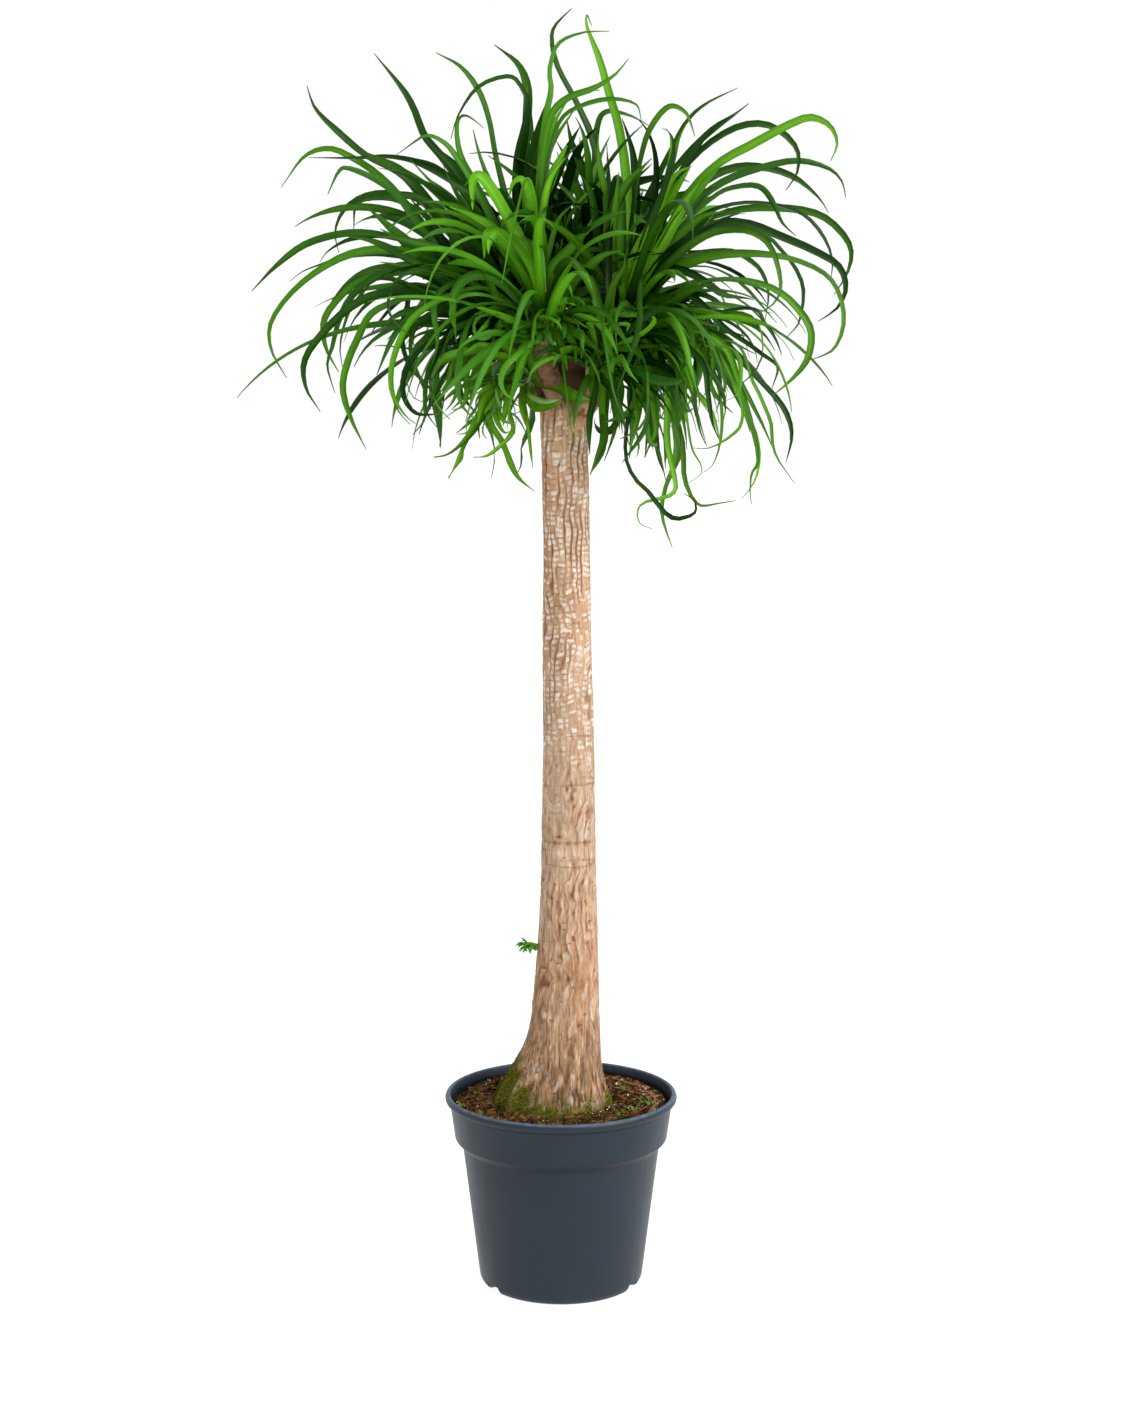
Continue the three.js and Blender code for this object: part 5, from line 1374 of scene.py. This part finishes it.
def strew(shells, dice, shape, at, sizes, ups, tone=(0, 1), power=1):
    """Sets a copy of a small shape at each place along its way up, spun at random, with a random
    tone from the span to the power. ups is those ways, or how far they lean at random."""
    ups = ups if np.ndim(ups) else tilts(dice, len(at), ups)
    turns = placings(ups, dice.uniform(0, SPIN, len(at)), sizes[:len(at)])
    shells.scatter(*shape, turns, at, tone=dice.uniform(*tone, len(at)) ** power)


# Dry rootlets: those strewn about, and the tangle along the wall at the right.
ROOTLETS, TANGLE_ROOTS, ROOT_STEPS = 80, 44, 9
TANGLE_RADIUS, TANGLE_HALF = 138, 0.9
ROOT_REACH, ROOT_WALL = 148, 151
# Weeds: x, y and how many blades.
WEEDS = ((-92, 74, 9), (-128, 42, 6), (-146, -8, 8), (-118, -52, 5), (104, -36, 9), (86, -62, 6),
         (112, 20, 7), (128, -8, 8), (92, 52, 6), (-30, -104, 5), (-14, -118, 4), (-100, -84, 6))
WEED_WALL = 152


# ---------- pot
def pot_rings(columns):
    """The pot's wall turned round its axis: foot, tapered body, step, collar and rolled rim
    outside, then down the inside, with every corner rounded by 1.4 mm or so."""
    outer = [(60, 0), (111, 0), (116.4, 3.2), (119.4, 8.5), (BODY_FOOT, 14), (BODY_TOP, 206),
             (149.4, 211), (COLLAR_FOOT, 217.5), (COLLAR_TOP, 270.5), (167, 271.6), (169.5, 274.4),
             (RIM_RADIUS, 278.5), (168.4, 282.4), (165.2, POT_HEIGHT), (162.6, 282.6),
             (COLLAR_TOP - WALL, 270), (COLLAR_FOOT - WALL, 219.5), (BODY_TOP - WALL, 207.5),
             (BODY_FOOT - WALL, 14), (112, FLOOR), (60, FLOOR)]
    outline = rounded(outer, 1.5, 3)
    a = TURN * np.arange(columns) / columns
    r, z = outline[:, :1], outline[:, 1:]
    return np.stack([r * np.cos(a), r * np.sin(a), np.tile(z, columns)], -1)


def notch_rings(turn, grow):
    """A block with slanted ends, inner face first, for a notch or, grown, for the wall behind it,
    whose outer edges lie in the skin of the tapered foot."""
    half = NOTCH_WIDTH / 2 + grow
    low, top = (FLOOR - 1, NOTCH_HEIGHT + grow) if grow else (-1, NOTCH_HEIGHT)
    t = np.array([-half, half, half - NOTCH_SLANT, -half + NOTCH_SLANT])
    z = np.array([low, low, top, top], float)
    reach = np.array(NOTCH_WALL_REACH if grow else NOTCH_CUT_REACH, float)[[0, 0, 1, 1]]
    c, s = math.cos(turn * RAD), math.sin(turn * RAD)
    rings = []
    for r in (np.full(4, BODY_FOOT - NOTCH_DEPTH - grow), np.sqrt(reach ** 2 - t * t)):
        rings.append(np.stack([r * c - t * s, r * s + t * c, z], 1))
    return np.stack(rings)


def tool_piece(shells):
    """A mesh object for a boolean, not kept."""
    mesh = bpy.data.meshes.new("tool")
    faces = [f for group in shells.faces for f in group.tolist()]
    mesh.from_pydata((np.vstack(shells.points) * MM).tolist(), [], faces)
    obj = bpy.data.objects.new("tool", mesh)
    bpy.context.scene.collection.objects.link(obj)
    return obj


def merge(obj, tool, operation):
    """Joins the tool's solid to the piece, or takes it out, and keeps the result as its mesh."""
    step = obj.modifiers.new("merge", "BOOLEAN")
    step.object, step.solver, step.operation = tool, "EXACT", operation
    bpy.context.view_layer.update()
    done = bpy.data.meshes.new_from_object(obj.evaluated_get(bpy.context.evaluated_depsgraph_get()))
    obj.modifiers.clear()
    obj.data = done
    bpy.data.objects.remove(tool)


def paint(obj, **looks):
    """Writes point values worked out from the piece's own corners, given in mm."""
    points = np.empty(len(obj.data.vertices) * 3, np.float32)
    obj.data.vertices.foreach_get("co", points)
    x, y, z = points.reshape(-1, 3).T / MM
    for key, rule in looks.items():
        data = obj.data.attributes.new(key, "FLOAT", "POINT").data
        data.foreach_set("value", rule(x, y, z).astype(np.float32))


def scuffed_foot_and_highlit_rim(x, y, z):
    """0 to 1: a painted highlight over the last 4 mm of the rim, and scuffs at the very foot by a bell 1.6
    mm tall.
    """
    return np.clip(0.9 * smooth_step(z, 279.5, 283.5) + np.exp(-(z / 1.6) ** 2), 0, 1)


def dried_soil(x, y, z):
    """0 to 1: inside, a film that thins up from the soil, and outside a weaker one at the foot."""
    inside = (np.hypot(x, y) < 161.4) & (z > 262)
    return np.where(inside, 0.6 * (1 - smooth_step(z, 268, 280)), 0.25 * (1 - smooth_step(z, 0, 18)))


# ---------- what a user may change
def colour_setting(name, description, value):
    """Colour property from an sRGB hex."""
    return bpy.props.FloatVectorProperty(name=name, description=description, default=linear(value),
                                         subtype="COLOR", size=4, min=0, max=1)


def number_setting(name, description, value, low, high):
    """Whole number property."""
    return bpy.props.IntProperty(name=name, description=description, default=value, min=low, max=high)


class PalmPotLook(bpy.types.PropertyGroup):
    """Colours and fineness of the pot."""
    plastic: colour_setting("Plastic", "Colour of the moulded wall", "#212D38")
    # This paler colour is a painted highlight along the rim's top, and scuffs at the very foot.
    scuff_and_highlight_colour: colour_setting("Rub marks", "Paler colour on raised edges", "#71869C")
    columns: number_setting("Columns", "Steps round the wall", 168, 48, 240)


class PalmSoilLook(bpy.types.PropertyGroup):
    """Colours and litter of the soil."""
    damp: colour_setting("Damp peat", "Colour in the hollows", "#070301")
    dry: colour_setting("Dry peat", "Colour of the crumbs", "#4B2B12")
    chips: number_setting("Bark chips", "Chips strewn on the peat", 460, 0, 2000)
    grit: number_setting("Perlite", "White grains strewn on the peat", 120, 0, 1000)
    crumbs: number_setting("Crumbs", "Loose crumbs of peat", 1500, 0, 5000)


class PalmTrunkLook(bpy.types.PropertyGroup):
    """Colours of the trunk and of its moss."""
    tan: colour_setting("Tan bark", "Colour of the bark", "#DAB08C")
    # The pale colour also serves the painted highlights beside the cracks and on the ridges' crests, and
    # the colour of the cracks the painted shade in the ridges' hollows.
    pale: colour_setting("Cork patches", "Pale cork patches on the upper trunk", "#F2E5D6")
    crack: colour_setting("Cracks", "Colour in the cracks", "#80502F")
    moss: colour_setting("Moss", "Darker green of the moss", "#474409")
    tufts: number_setting("Moss tufts", "Small tufts that stand on the moss", 1700, 0, 6000)


class PalmLeafLook(bpy.types.PropertyGroup):
    """Greens of the crown and how many small leaves fill it."""
    light: colour_setting("Light green", "Leaves that catch the light", "#6DB81C")
    middle: colour_setting("Middle green", "Leaves of the sides", "#3A7A0A")
    # The dark green is also the painted shade of the back heads, whose leaves run from it to the middle
    # green.
    dark: colour_setting("Dark green", "Oldest and inmost leaves", "#0C3801")
    under: colour_setting("Underside", "Duller green of the undersides", "#3C7A1E")
    young: colour_setting("Young green", "Leaves of the side shoots", "#74B01E")
    share: bpy.props.FloatProperty(name="Fill", description="Share of the filling leaves that are made",
                                   default=1.0, min=0.0, max=2.0, subtype="FACTOR")


class PalmStageLook(bpy.types.PropertyGroup):
    """Light and floor."""
    floor: colour_setting("Floor", "Plain pale floor", "#8C8C8C")
    key: bpy.props.FloatProperty(name="Main light", description="Strength of the light at the right",
                                 default=2.4, min=0.0)
    top: bpy.props.FloatProperty(name="Top light", description="Strength of the wide light above",
                                 default=0.6, min=0.0)
    sky: bpy.props.FloatProperty(name="Ceiling", description="Strength of the even light from above; "
                                 "the walls all round are white", default=0.25, min=0.0)


# ---------- one operator a piece
class PALM_OT_pot(bpy.types.Operator):
    """Turns the pot's wall and cuts its three foot notches and drain holes"""
    bl_idname = "palm.pot"
    bl_label = "Nursery pot"

    def execute(self, context):
        look = context.scene.palm_pot
        wall = Shells()
        wall.tube(pot_rings(look.columns))
        pot = wall.piece("pot_wall", moulded_plastic(look.plastic, look.scuff_and_highlight_colour), 0)
        inner, outer, drains = Shells(), Shells(), Shells()
        for turn in NOTCH_TURNS:
            inner.tube(notch_rings(turn, WALL))
            outer.tube(notch_rings(turn, 0))
            at = np.array([math.cos(turn * RAD), math.sin(turn * RAD)]) * DRAIN_RING
            drains.tube(rod(np.array([(*at, 1.0), (*at, 30.0)]), [DRAIN_RADIUS] * 2, 20))
        merge(pot, tool_piece(inner), "UNION")
        merge(pot, tool_piece(outer), "DIFFERENCE")
        merge(pot, tool_piece(drains), "DIFFERENCE")
        pot.data.polygons.foreach_set("use_smooth", np.ones(len(pot.data.polygons), bool))
        pot.data.set_sharp_from_angle(angle=32 * RAD)

        paint(pot, edge=scuffed_foot_and_highlit_rim, dust=dried_soil)
        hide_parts("pot")
        return {"FINISHED"}


class PALM_OT_soil(bpy.types.Operator):
    """Lays the peat round the trunk and strews crumbs, bark chips, perlite and rootlets on it"""
    bl_idname = "palm.soil"
    bl_label = "Soil"

    def execute(self, context):
        look = context.scene.palm_soil
        dice = np.random.default_rng(SOIL_SEED)
        bed = Shells()
        bed.tube(soil_rings(columns=300, rows=120))
        soil = bed.piece("soil_peat", peat("peat_and_bark", look.damp, look.dry), 0)
        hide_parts("soil")

        bits = Shells()
        count = look.crumbs
        sizes = dice.uniform(1.0, 2.6, (count, 1)) * dice.uniform(0.7, 1.2, (count, 3))
        strew(bits, dice, BALL, on_soil(dice, count), sizes, 0.6, (0, 0.3))
        count = look.chips
        long = dice.uniform(2.5, 8.5, count)
        sizes = np.stack([long, dice.uniform(0.25, 0.6, count) * long, dice.uniform(0.6, 1.5, count)], 1)
        strew(bits, dice, CHIP, on_soil(dice, count) + [0, 0, 0.8], sizes, 0.35, (0, 1), 2.5)
        litter = bits.piece("soil_bits", speckled("bark_chips_and_crumbs", linear("#180D05"),
                                                  linear("#9C6D3C"), 420, 0.88), 40)

        grains = Shells()
        at = on_soil(dice, look.grit)
        sizes = dice.uniform(0.9, 2, (len(at), 1)) * dice.uniform(0.8, 1.2, (len(at), 3))
        strew(grains, dice, BALL, at + [0, 0, 0.9], sizes, 0.6)
        perlite = grains.piece("soil_perlite", speckled("expanded_perlite", linear("#C9C3B4"),
                                                        linear("#F5F3EC"), 900, 0.8, 0.0002), 60)

        strands = Shells()
        spots = on_soil(dice, ROOTLETS, high=ROOT_REACH)
        right = np.array([(TANGLE_RADIUS * math.cos(t), TANGLE_RADIUS * math.sin(t), 0)
                          for t in dice.uniform(-TANGLE_HALF, TANGLE_HALF, TANGLE_ROOTS)])
        for k, (x, y, _) in enumerate(np.vstack([spots, right])):
            heavy = k >= len(spots)
            way = math.atan2(y, x) + 1.57 + dice.normal(0, 0.4) if heavy else dice.uniform(0, TURN)
            long = dice.uniform(18, 52)
            t = np.linspace(-0.5, 0.5, ROOT_STEPS)
            bend = way + dice.normal(0, 0.9) * t
            xs = np.clip(x + long * t * np.cos(bend), -ROOT_REACH, ROOT_REACH)
            ys = y + long * t * np.sin(bend)
            over = np.maximum(1, np.hypot(xs, ys) / ROOT_WALL)
            xs, ys = xs / over, ys / over
            lift = (1.5 if heavy else 0.7) + dice.uniform(0, 2.2) * np.sin(9 * t + dice.uniform(0, 6)) ** 2
            thick = dice.uniform(0.7, 1.7) if heavy else dice.uniform(0.35, 0.8)
            line = np.stack([xs, ys, soil_height(xs, ys) + lift], 1)
            strands.tube(rod(line, thick * np.sin(np.linspace(0.35, 2.79, ROOT_STEPS)), 6),
                         tone=dice.uniform(0.1, 0.9))
        roots = strands.piece("soil_rootlets", speckled("dry_roots", linear("#5A3A25"),
                                                        linear("#CBA478"), 260, 0.85), 0)
        return {"FINISHED"}


class PALM_OT_trunk(bpy.types.Operator):
    """Raises the trunk with its bark, the stubs that carry the heads and the sprout's bud"""
    bl_idname = "palm.trunk"
    bl_label = "Trunk"

    def execute(self, context):
        look = context.scene.palm_trunk
        bark_look = corky_bark(look.pale, look.tan, look.crack, look.moss)
        rings, values = trunk_rings(columns=172, low_rows=8, high_rows=550)
        column = Shells()
        column.tube(rings, **values)
        trunk = column.piece("trunk_bark", bark_look, 0)
        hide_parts("trunk")

        stubs = Shells()
        for name in HEADS:
            rings, cracks = stub_rings(name, sides=44)
            stubs.tube(rings, crack=cracks, scar=0.25 if name == "low_right" else 0.6)
        y, z = SPROUT["y"], SPROUT["z"]
        bud = np.array([(SPROUT["face"] + k, y, z) for k in (22, 12, 6, 2, 0)], float)
        stubs.tube(rod(bud, SPROUT["radius"] + np.array([1.5, 1.3, 0.8, 0.3, 0]), 18), crack=0.3)
        stubs.piece("trunk_stubs", bark_look, 40)
        return {"FINISHED"}


class PALM_OT_moss(bpy.types.Operator):
    """Grows moss tufts on the trunk's foot and small weeds on the soil"""
    bl_idname = "palm.moss"
    bl_label = "Moss and weeds"

    def execute(self, context):
        dice = np.random.default_rng(MOSS_SEED)
        count = context.scene.palm_trunk.tufts
        a, z = dice.uniform(0, TURN, 9 * count), dice.uniform(*MOSS_SPAN, 9 * count)
        cover = moss_at(a, z)
        keep = np.flatnonzero(dice.uniform(0, 1, len(a)) < cover * smooth_step(cover, 0.1, 0.5))[:count]
        a, z = a[keep], z[keep]
        middle, across, deep = section_at(z).T
        out = unit(np.stack([np.cos(a) / across, np.sin(a) / deep, 0.006 + 0 * a], 1))
        at = np.stack([middle + across * np.cos(a), TRUNK_Y + deep * np.sin(a), z], 1) + out * 0.6
        ups = out + dice.normal(0, 0.55, at.shape) + [0, 0, 0.5]
        ground = on_soil(dice, 700, low=56, high=100)
        turn = np.arctan2(ground[:, 1] - TRUNK_Y, ground[:, 0] - FOOT_X)
        ground = ground[moss_at(turn, np.full(len(ground), MOSS_AT_SOIL)) > 0.25]
        at = np.vstack([at, ground])
        ups = np.vstack([ups, tilts(dice, len(ground), 0.4)])
        tall = dice.uniform(1.0, 2.8, len(at))
        wide = dice.uniform(1.0, 2.0, len(at))
        tufts = Shells()
        strew(tufts, dice, TUFT, at, np.stack([wide, wide, tall], 1), ups)
        moss = tufts.piece("moss_tufts", speckled("cushion_moss", linear("#262604"), linear("#8F9018"),
                                                  500, 0.8), 0)

        green = Shells()
        for x, y, leaves in WEEDS:
            root = np.array([x, y, soil_height(np.array([x], float), np.array([y], float))[0] + 0.2])
            for _ in range(leaves):
                line, bends = rule_line(root + [*dice.normal(0, 2, 2), 0], dice.uniform(5, 14),
                                        dice.uniform(30, 85), dice.uniform(-50, 30), 1.2,
                                        dice.uniform(0, 360), dice.uniform(-40, 40))
                over = np.hypot(line[:, 0], line[:, 1]) / WEED_WALL
                line[:, :2] /= np.maximum(1, over)[:, None]
                blade_shell(green, dict(width=dice.uniform(2, 4), twist=dice.uniform(-30, 30), roll=0,
                                        line=line, turns=bends), dice.uniform(0.2, 1), 8)
        weeds = green.piece("soil_weeds", leaf_blade("seedling_leaf", linear("#3C5E12"), linear("#7E9E2E"),
                                                     linear("#7C9A4A"), linear("#93A650")), 50)
        return {"FINISHED"}


# The sprout's leaves: turn, rise, fall, length, width and how far in from its heart they start.
SPROUT_LEAVES = (
    (178, 50, -60, 22, 8, 0), (205, 20, -80, 18, 7, 0), (150, 35, -70, 20, 7, 0),
    (230, -5, -70, 16, 6, 0), (170, 75, 10, 16, 6, 0), (200, 70, -150, 26, 8, 7),
    (165, 60, -170, 24, 8, 6), (250, 40, -120, 22, 7, 7), (120, 50, -120, 22, 7, 7),
    (262, 60, -60, 15, 8, 9), (275, 20, -90, 13, 8, 10), (290, 50, -40, 15, 7, 7))


class PALM_OT_crown(bpy.types.Operator):
    """Grows the heads and the shoots: the leaves of the solids and the finer ones between them"""
    bl_idname = "palm.crown"
    bl_label = "Leaves"

    def execute(self, context):
        look = context.scene.palm_leaves
        light, middle, dark, under, young = look.light, look.middle, look.dark, look.under, look.young
        base = linear("#B9C77C")
        # Each head takes its own copy of the leaf, lit and shaded by where it stands: the front one
        # painted lighter, the left one and the back ones in painted shade.
        greens = {
            "front": leaf_blade("strap_leaf_lit", middle, light, under, base),
            "right": leaf_blade("strap_leaf_open", dark, light, under, base),
            "left": leaf_blade("strap_leaf_shaded_side", dark, linear("#4E960C"), under, base),
            "back": leaf_blade("strap_leaf_shaded", dark, middle, under, base),
            "shoot": leaf_blade("young_strap_leaf", middle, young, linear("#93B878"), linear("#D9C9A0")),
        }
        kinds = {"low_right": "right", "back_left": "back", "back_right": "back"}
        leaves, left_out = grow_leaves()
        dice = np.random.default_rng(TONE_SEED)
        random = Seeded(FILL_SEED)
        for name in HEADS:
            shells = Shells()
            core_shell(shells, name)
            for leaf in leaves:
                if leaf["head"] == name:
                    blade_shell(shells, leaf, dice.uniform(), SOLID_STEPS)
            for route in FILL_READ:
                if route[0] == name:
                    side = 1 if route[4] >= grow_point(name)[0] else -1
                    leaf = dict(width=READ_WIDEN * route[1], sign=side, twist=FILL_READ_TWIST * side,
                                roll=READ_ROLL * side, full=True, line=read_line(route, route[2]))
                    blade_shell(shells, leaf, route[3] / 100, READ_STEPS)
            for leaf in left_out:
                if leaf["head"] == name:
                    blade_shell(shells, leaf, 0.7, SOLID_STEPS, thin=True)
            for leaf in fill_leaves(name, random, look.share):
                blade_shell(shells, leaf, dice.uniform(), FILL_STEPS, leaf["width"] < THIN_WIDTH)
            shoot = name == "shoot"
            tuft = shells.piece("leaves_" + name, greens[kinds.get(name, name)], 50)
            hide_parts("side_shoot" if shoot else "head_" + name)

        curls = Shells()
        root = np.array([SPROUT["face"] - GAP, SPROUT["y"], SPROUT["z"]])
        stem = smooth_line(root + np.array([(0, 0, 0), (-6, 0, 0), (-11, 0, 3)], float), 4)
        curls.tube(rod(stem, np.interp(np.linspace(0, 1, len(stem)), [0, 0.5, 1], [3.5, 3.6, 1.6]), 16),
                   tone=0.5, reach=0.02)
        heart = root + [-6.5, 0, 2]
        for turn, rise, fall, long, width, back in SPROUT_LEAVES:
            line, bends = rule_line(heart + [back, 0, 0], long, rise, fall, 1, turn, 10)
            blade_shell(curls, dict(width=width, twist=20, roll=0, full=True, line=line, turns=bends),
                        dice.uniform(0.3, 1), 14)
        for _ in range(9):
            line, bends = rule_line(heart, dice.uniform(9, 17), dice.uniform(-20, 80),
                                    dice.uniform(-85, 40), 1.2, dice.uniform(130, 240), 20)
            blade_shell(curls, dict(width=dice.uniform(2, 4), twist=40, roll=0, line=line, turns=bends),
                        dice.uniform(0.3, 1), 9)
        sprout = curls.piece("leaves_sprout", leaf_blade("sprout_leaf", middle, light, under, young), 50)
        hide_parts("trunk_sprout")
        return {"FINISHED"}


# The floor's radius, in metres, and its sides.
FLOOR_REACH, FLOOR_SIDES = 45, 96


def soft_light(name, place, spread, strength):
    """Far light that shines from a place to the origin, as wide as `spread` degrees of the sky."""
    lamp = bpy.data.lights.new(name, "SUN")
    lamp.energy, lamp.angle = strength, spread * RAD
    obj = bpy.data.objects.new(name, lamp)
    obj.location = place
    obj.rotation_euler = mathutils.Vector(place).to_track_quat("Z", "Y").to_euler()
    bpy.context.scene.collection.objects.link(obj)


class PALM_OT_stage(bpy.types.Operator):
    """Sets the pale floor, the soft lights and the camera where the plant was seen from"""
    bl_idname = "palm.stage"
    bl_label = "Stage"

    def execute(self, context):
        look = context.scene.palm_stage

        def painted(add):
            """Matt paint, rolled on: nearly even, and lit from within so that it stays pale."""
            cloud = add("TexNoise", {"Scale": 3, "Detail": 2, "Vector": add("TexCoord", out=3)})
            return add("BsdfPrincipled", {
                "Roughness": 0.8, "Specular IOR Level": 0.1, "Emission Strength": 0.92,
                "Emission Color": grey(1),
                "Base Color": layered(add, look.floor, (cloud, darker(look.floor, 0.985)))})

        corners = np.vstack([ring_of(FLOOR_REACH, 0, FLOOR_SIDES), [(0, 0, 0)]])
        mesh = bpy.data.meshes.new("floor")
        wedges = [(FLOOR_SIDES, k, (k + 1) % FLOOR_SIDES) for k in range(FLOOR_SIDES)]
        mesh.from_pydata(corners.tolist(), [], wedges)
        mesh.materials.append(material("painted_floor", painted))
        floor = bpy.data.objects.new("floor", mesh)
        context.scene.collection.objects.link(floor)

        world = bpy.data.worlds.new("surround")
        world.use_nodes = True
        tree = world.node_tree
        way = node(tree, "SeparateXYZ", {0: node(tree, "TexCoord", out=3)}, out=2)
        steep = node(tree, "Math", {"operation": "ABSOLUTE", 0: way})
        fade = node(tree, "MapRange", {1: 0.165, 2: 0.38, 3: 1.0, 4: look.sky, 0: steep})
        tree.links.new(fade, tree.nodes["Background"].inputs["Strength"])
        tree.nodes["Background"].inputs["Color"].default_value = linear("#FFFFFF")
        context.scene.world = world
        context.scene.view_settings.view_transform = "Standard"

        soft_light("main_light", (2.2, -1.7, 2.1), 50, look.key)
        soft_light("top_light", (-0.2, 0.5, 3), 60, look.top)

        lens = bpy.data.cameras.new("view")
        lens.sensor_width = 36
        lens.lens = FOCAL_PIXELS * lens.sensor_width / IMAGE_HEIGHT
        lens.clip_end = 200
        camera = bpy.data.objects.new("view", lens)
        camera.location = (0, -EYE_BACK * MM, EYE_HEIGHT * MM)
        camera.rotation_euler = ((90 - EYE_TILT) * RAD, 0, 0)
        context.scene.collection.objects.link(camera)
        context.scene.camera = camera
        return {"FINISHED"}


STEPS = (PALM_OT_stage, PALM_OT_pot, PALM_OT_soil, PALM_OT_trunk, PALM_OT_moss, PALM_OT_crown)
LOOKS = {"palm_pot": PalmPotLook, "palm_soil": PalmSoilLook, "palm_trunk": PalmTrunkLook,
         "palm_leaves": PalmLeafLook, "palm_stage": PalmStageLook}


class PALM_PT_pieces(bpy.types.Panel):
    """The palm's pieces and their looks"""
    bl_label = "Ponytail palm"
    bl_space_type = "VIEW_3D"
    bl_region_type = "UI"
    bl_category = "Palm"

    def draw(self, context):
        for step in STEPS:
            self.layout.operator(step.bl_idname)
        for key, look in LOOKS.items():
            box = self.layout.box()
            for name in look.__annotations__:
                box.prop(getattr(context.scene, key), name)


def register():
    """Adds the classes, and the looks to every scene."""
    for made in (*LOOKS.values(), *STEPS, PALM_PT_pieces):
        bpy.utils.register_class(made)
    for key, look in LOOKS.items():
        setattr(bpy.types.Scene, key, bpy.props.PointerProperty(type=look))


def unregister():
    """Takes them away again."""
    for key in LOOKS:
        delattr(bpy.types.Scene, key)
    for made in (PALM_PT_pieces, *reversed(STEPS), *reversed(LOOKS.values())):
        bpy.utils.unregister_class(made)


def main():
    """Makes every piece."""
    register()
    for step in STEPS:
        getattr(bpy.ops.palm, step.bl_idname.split(".")[1])()


if __name__ == "__main__":
    main()
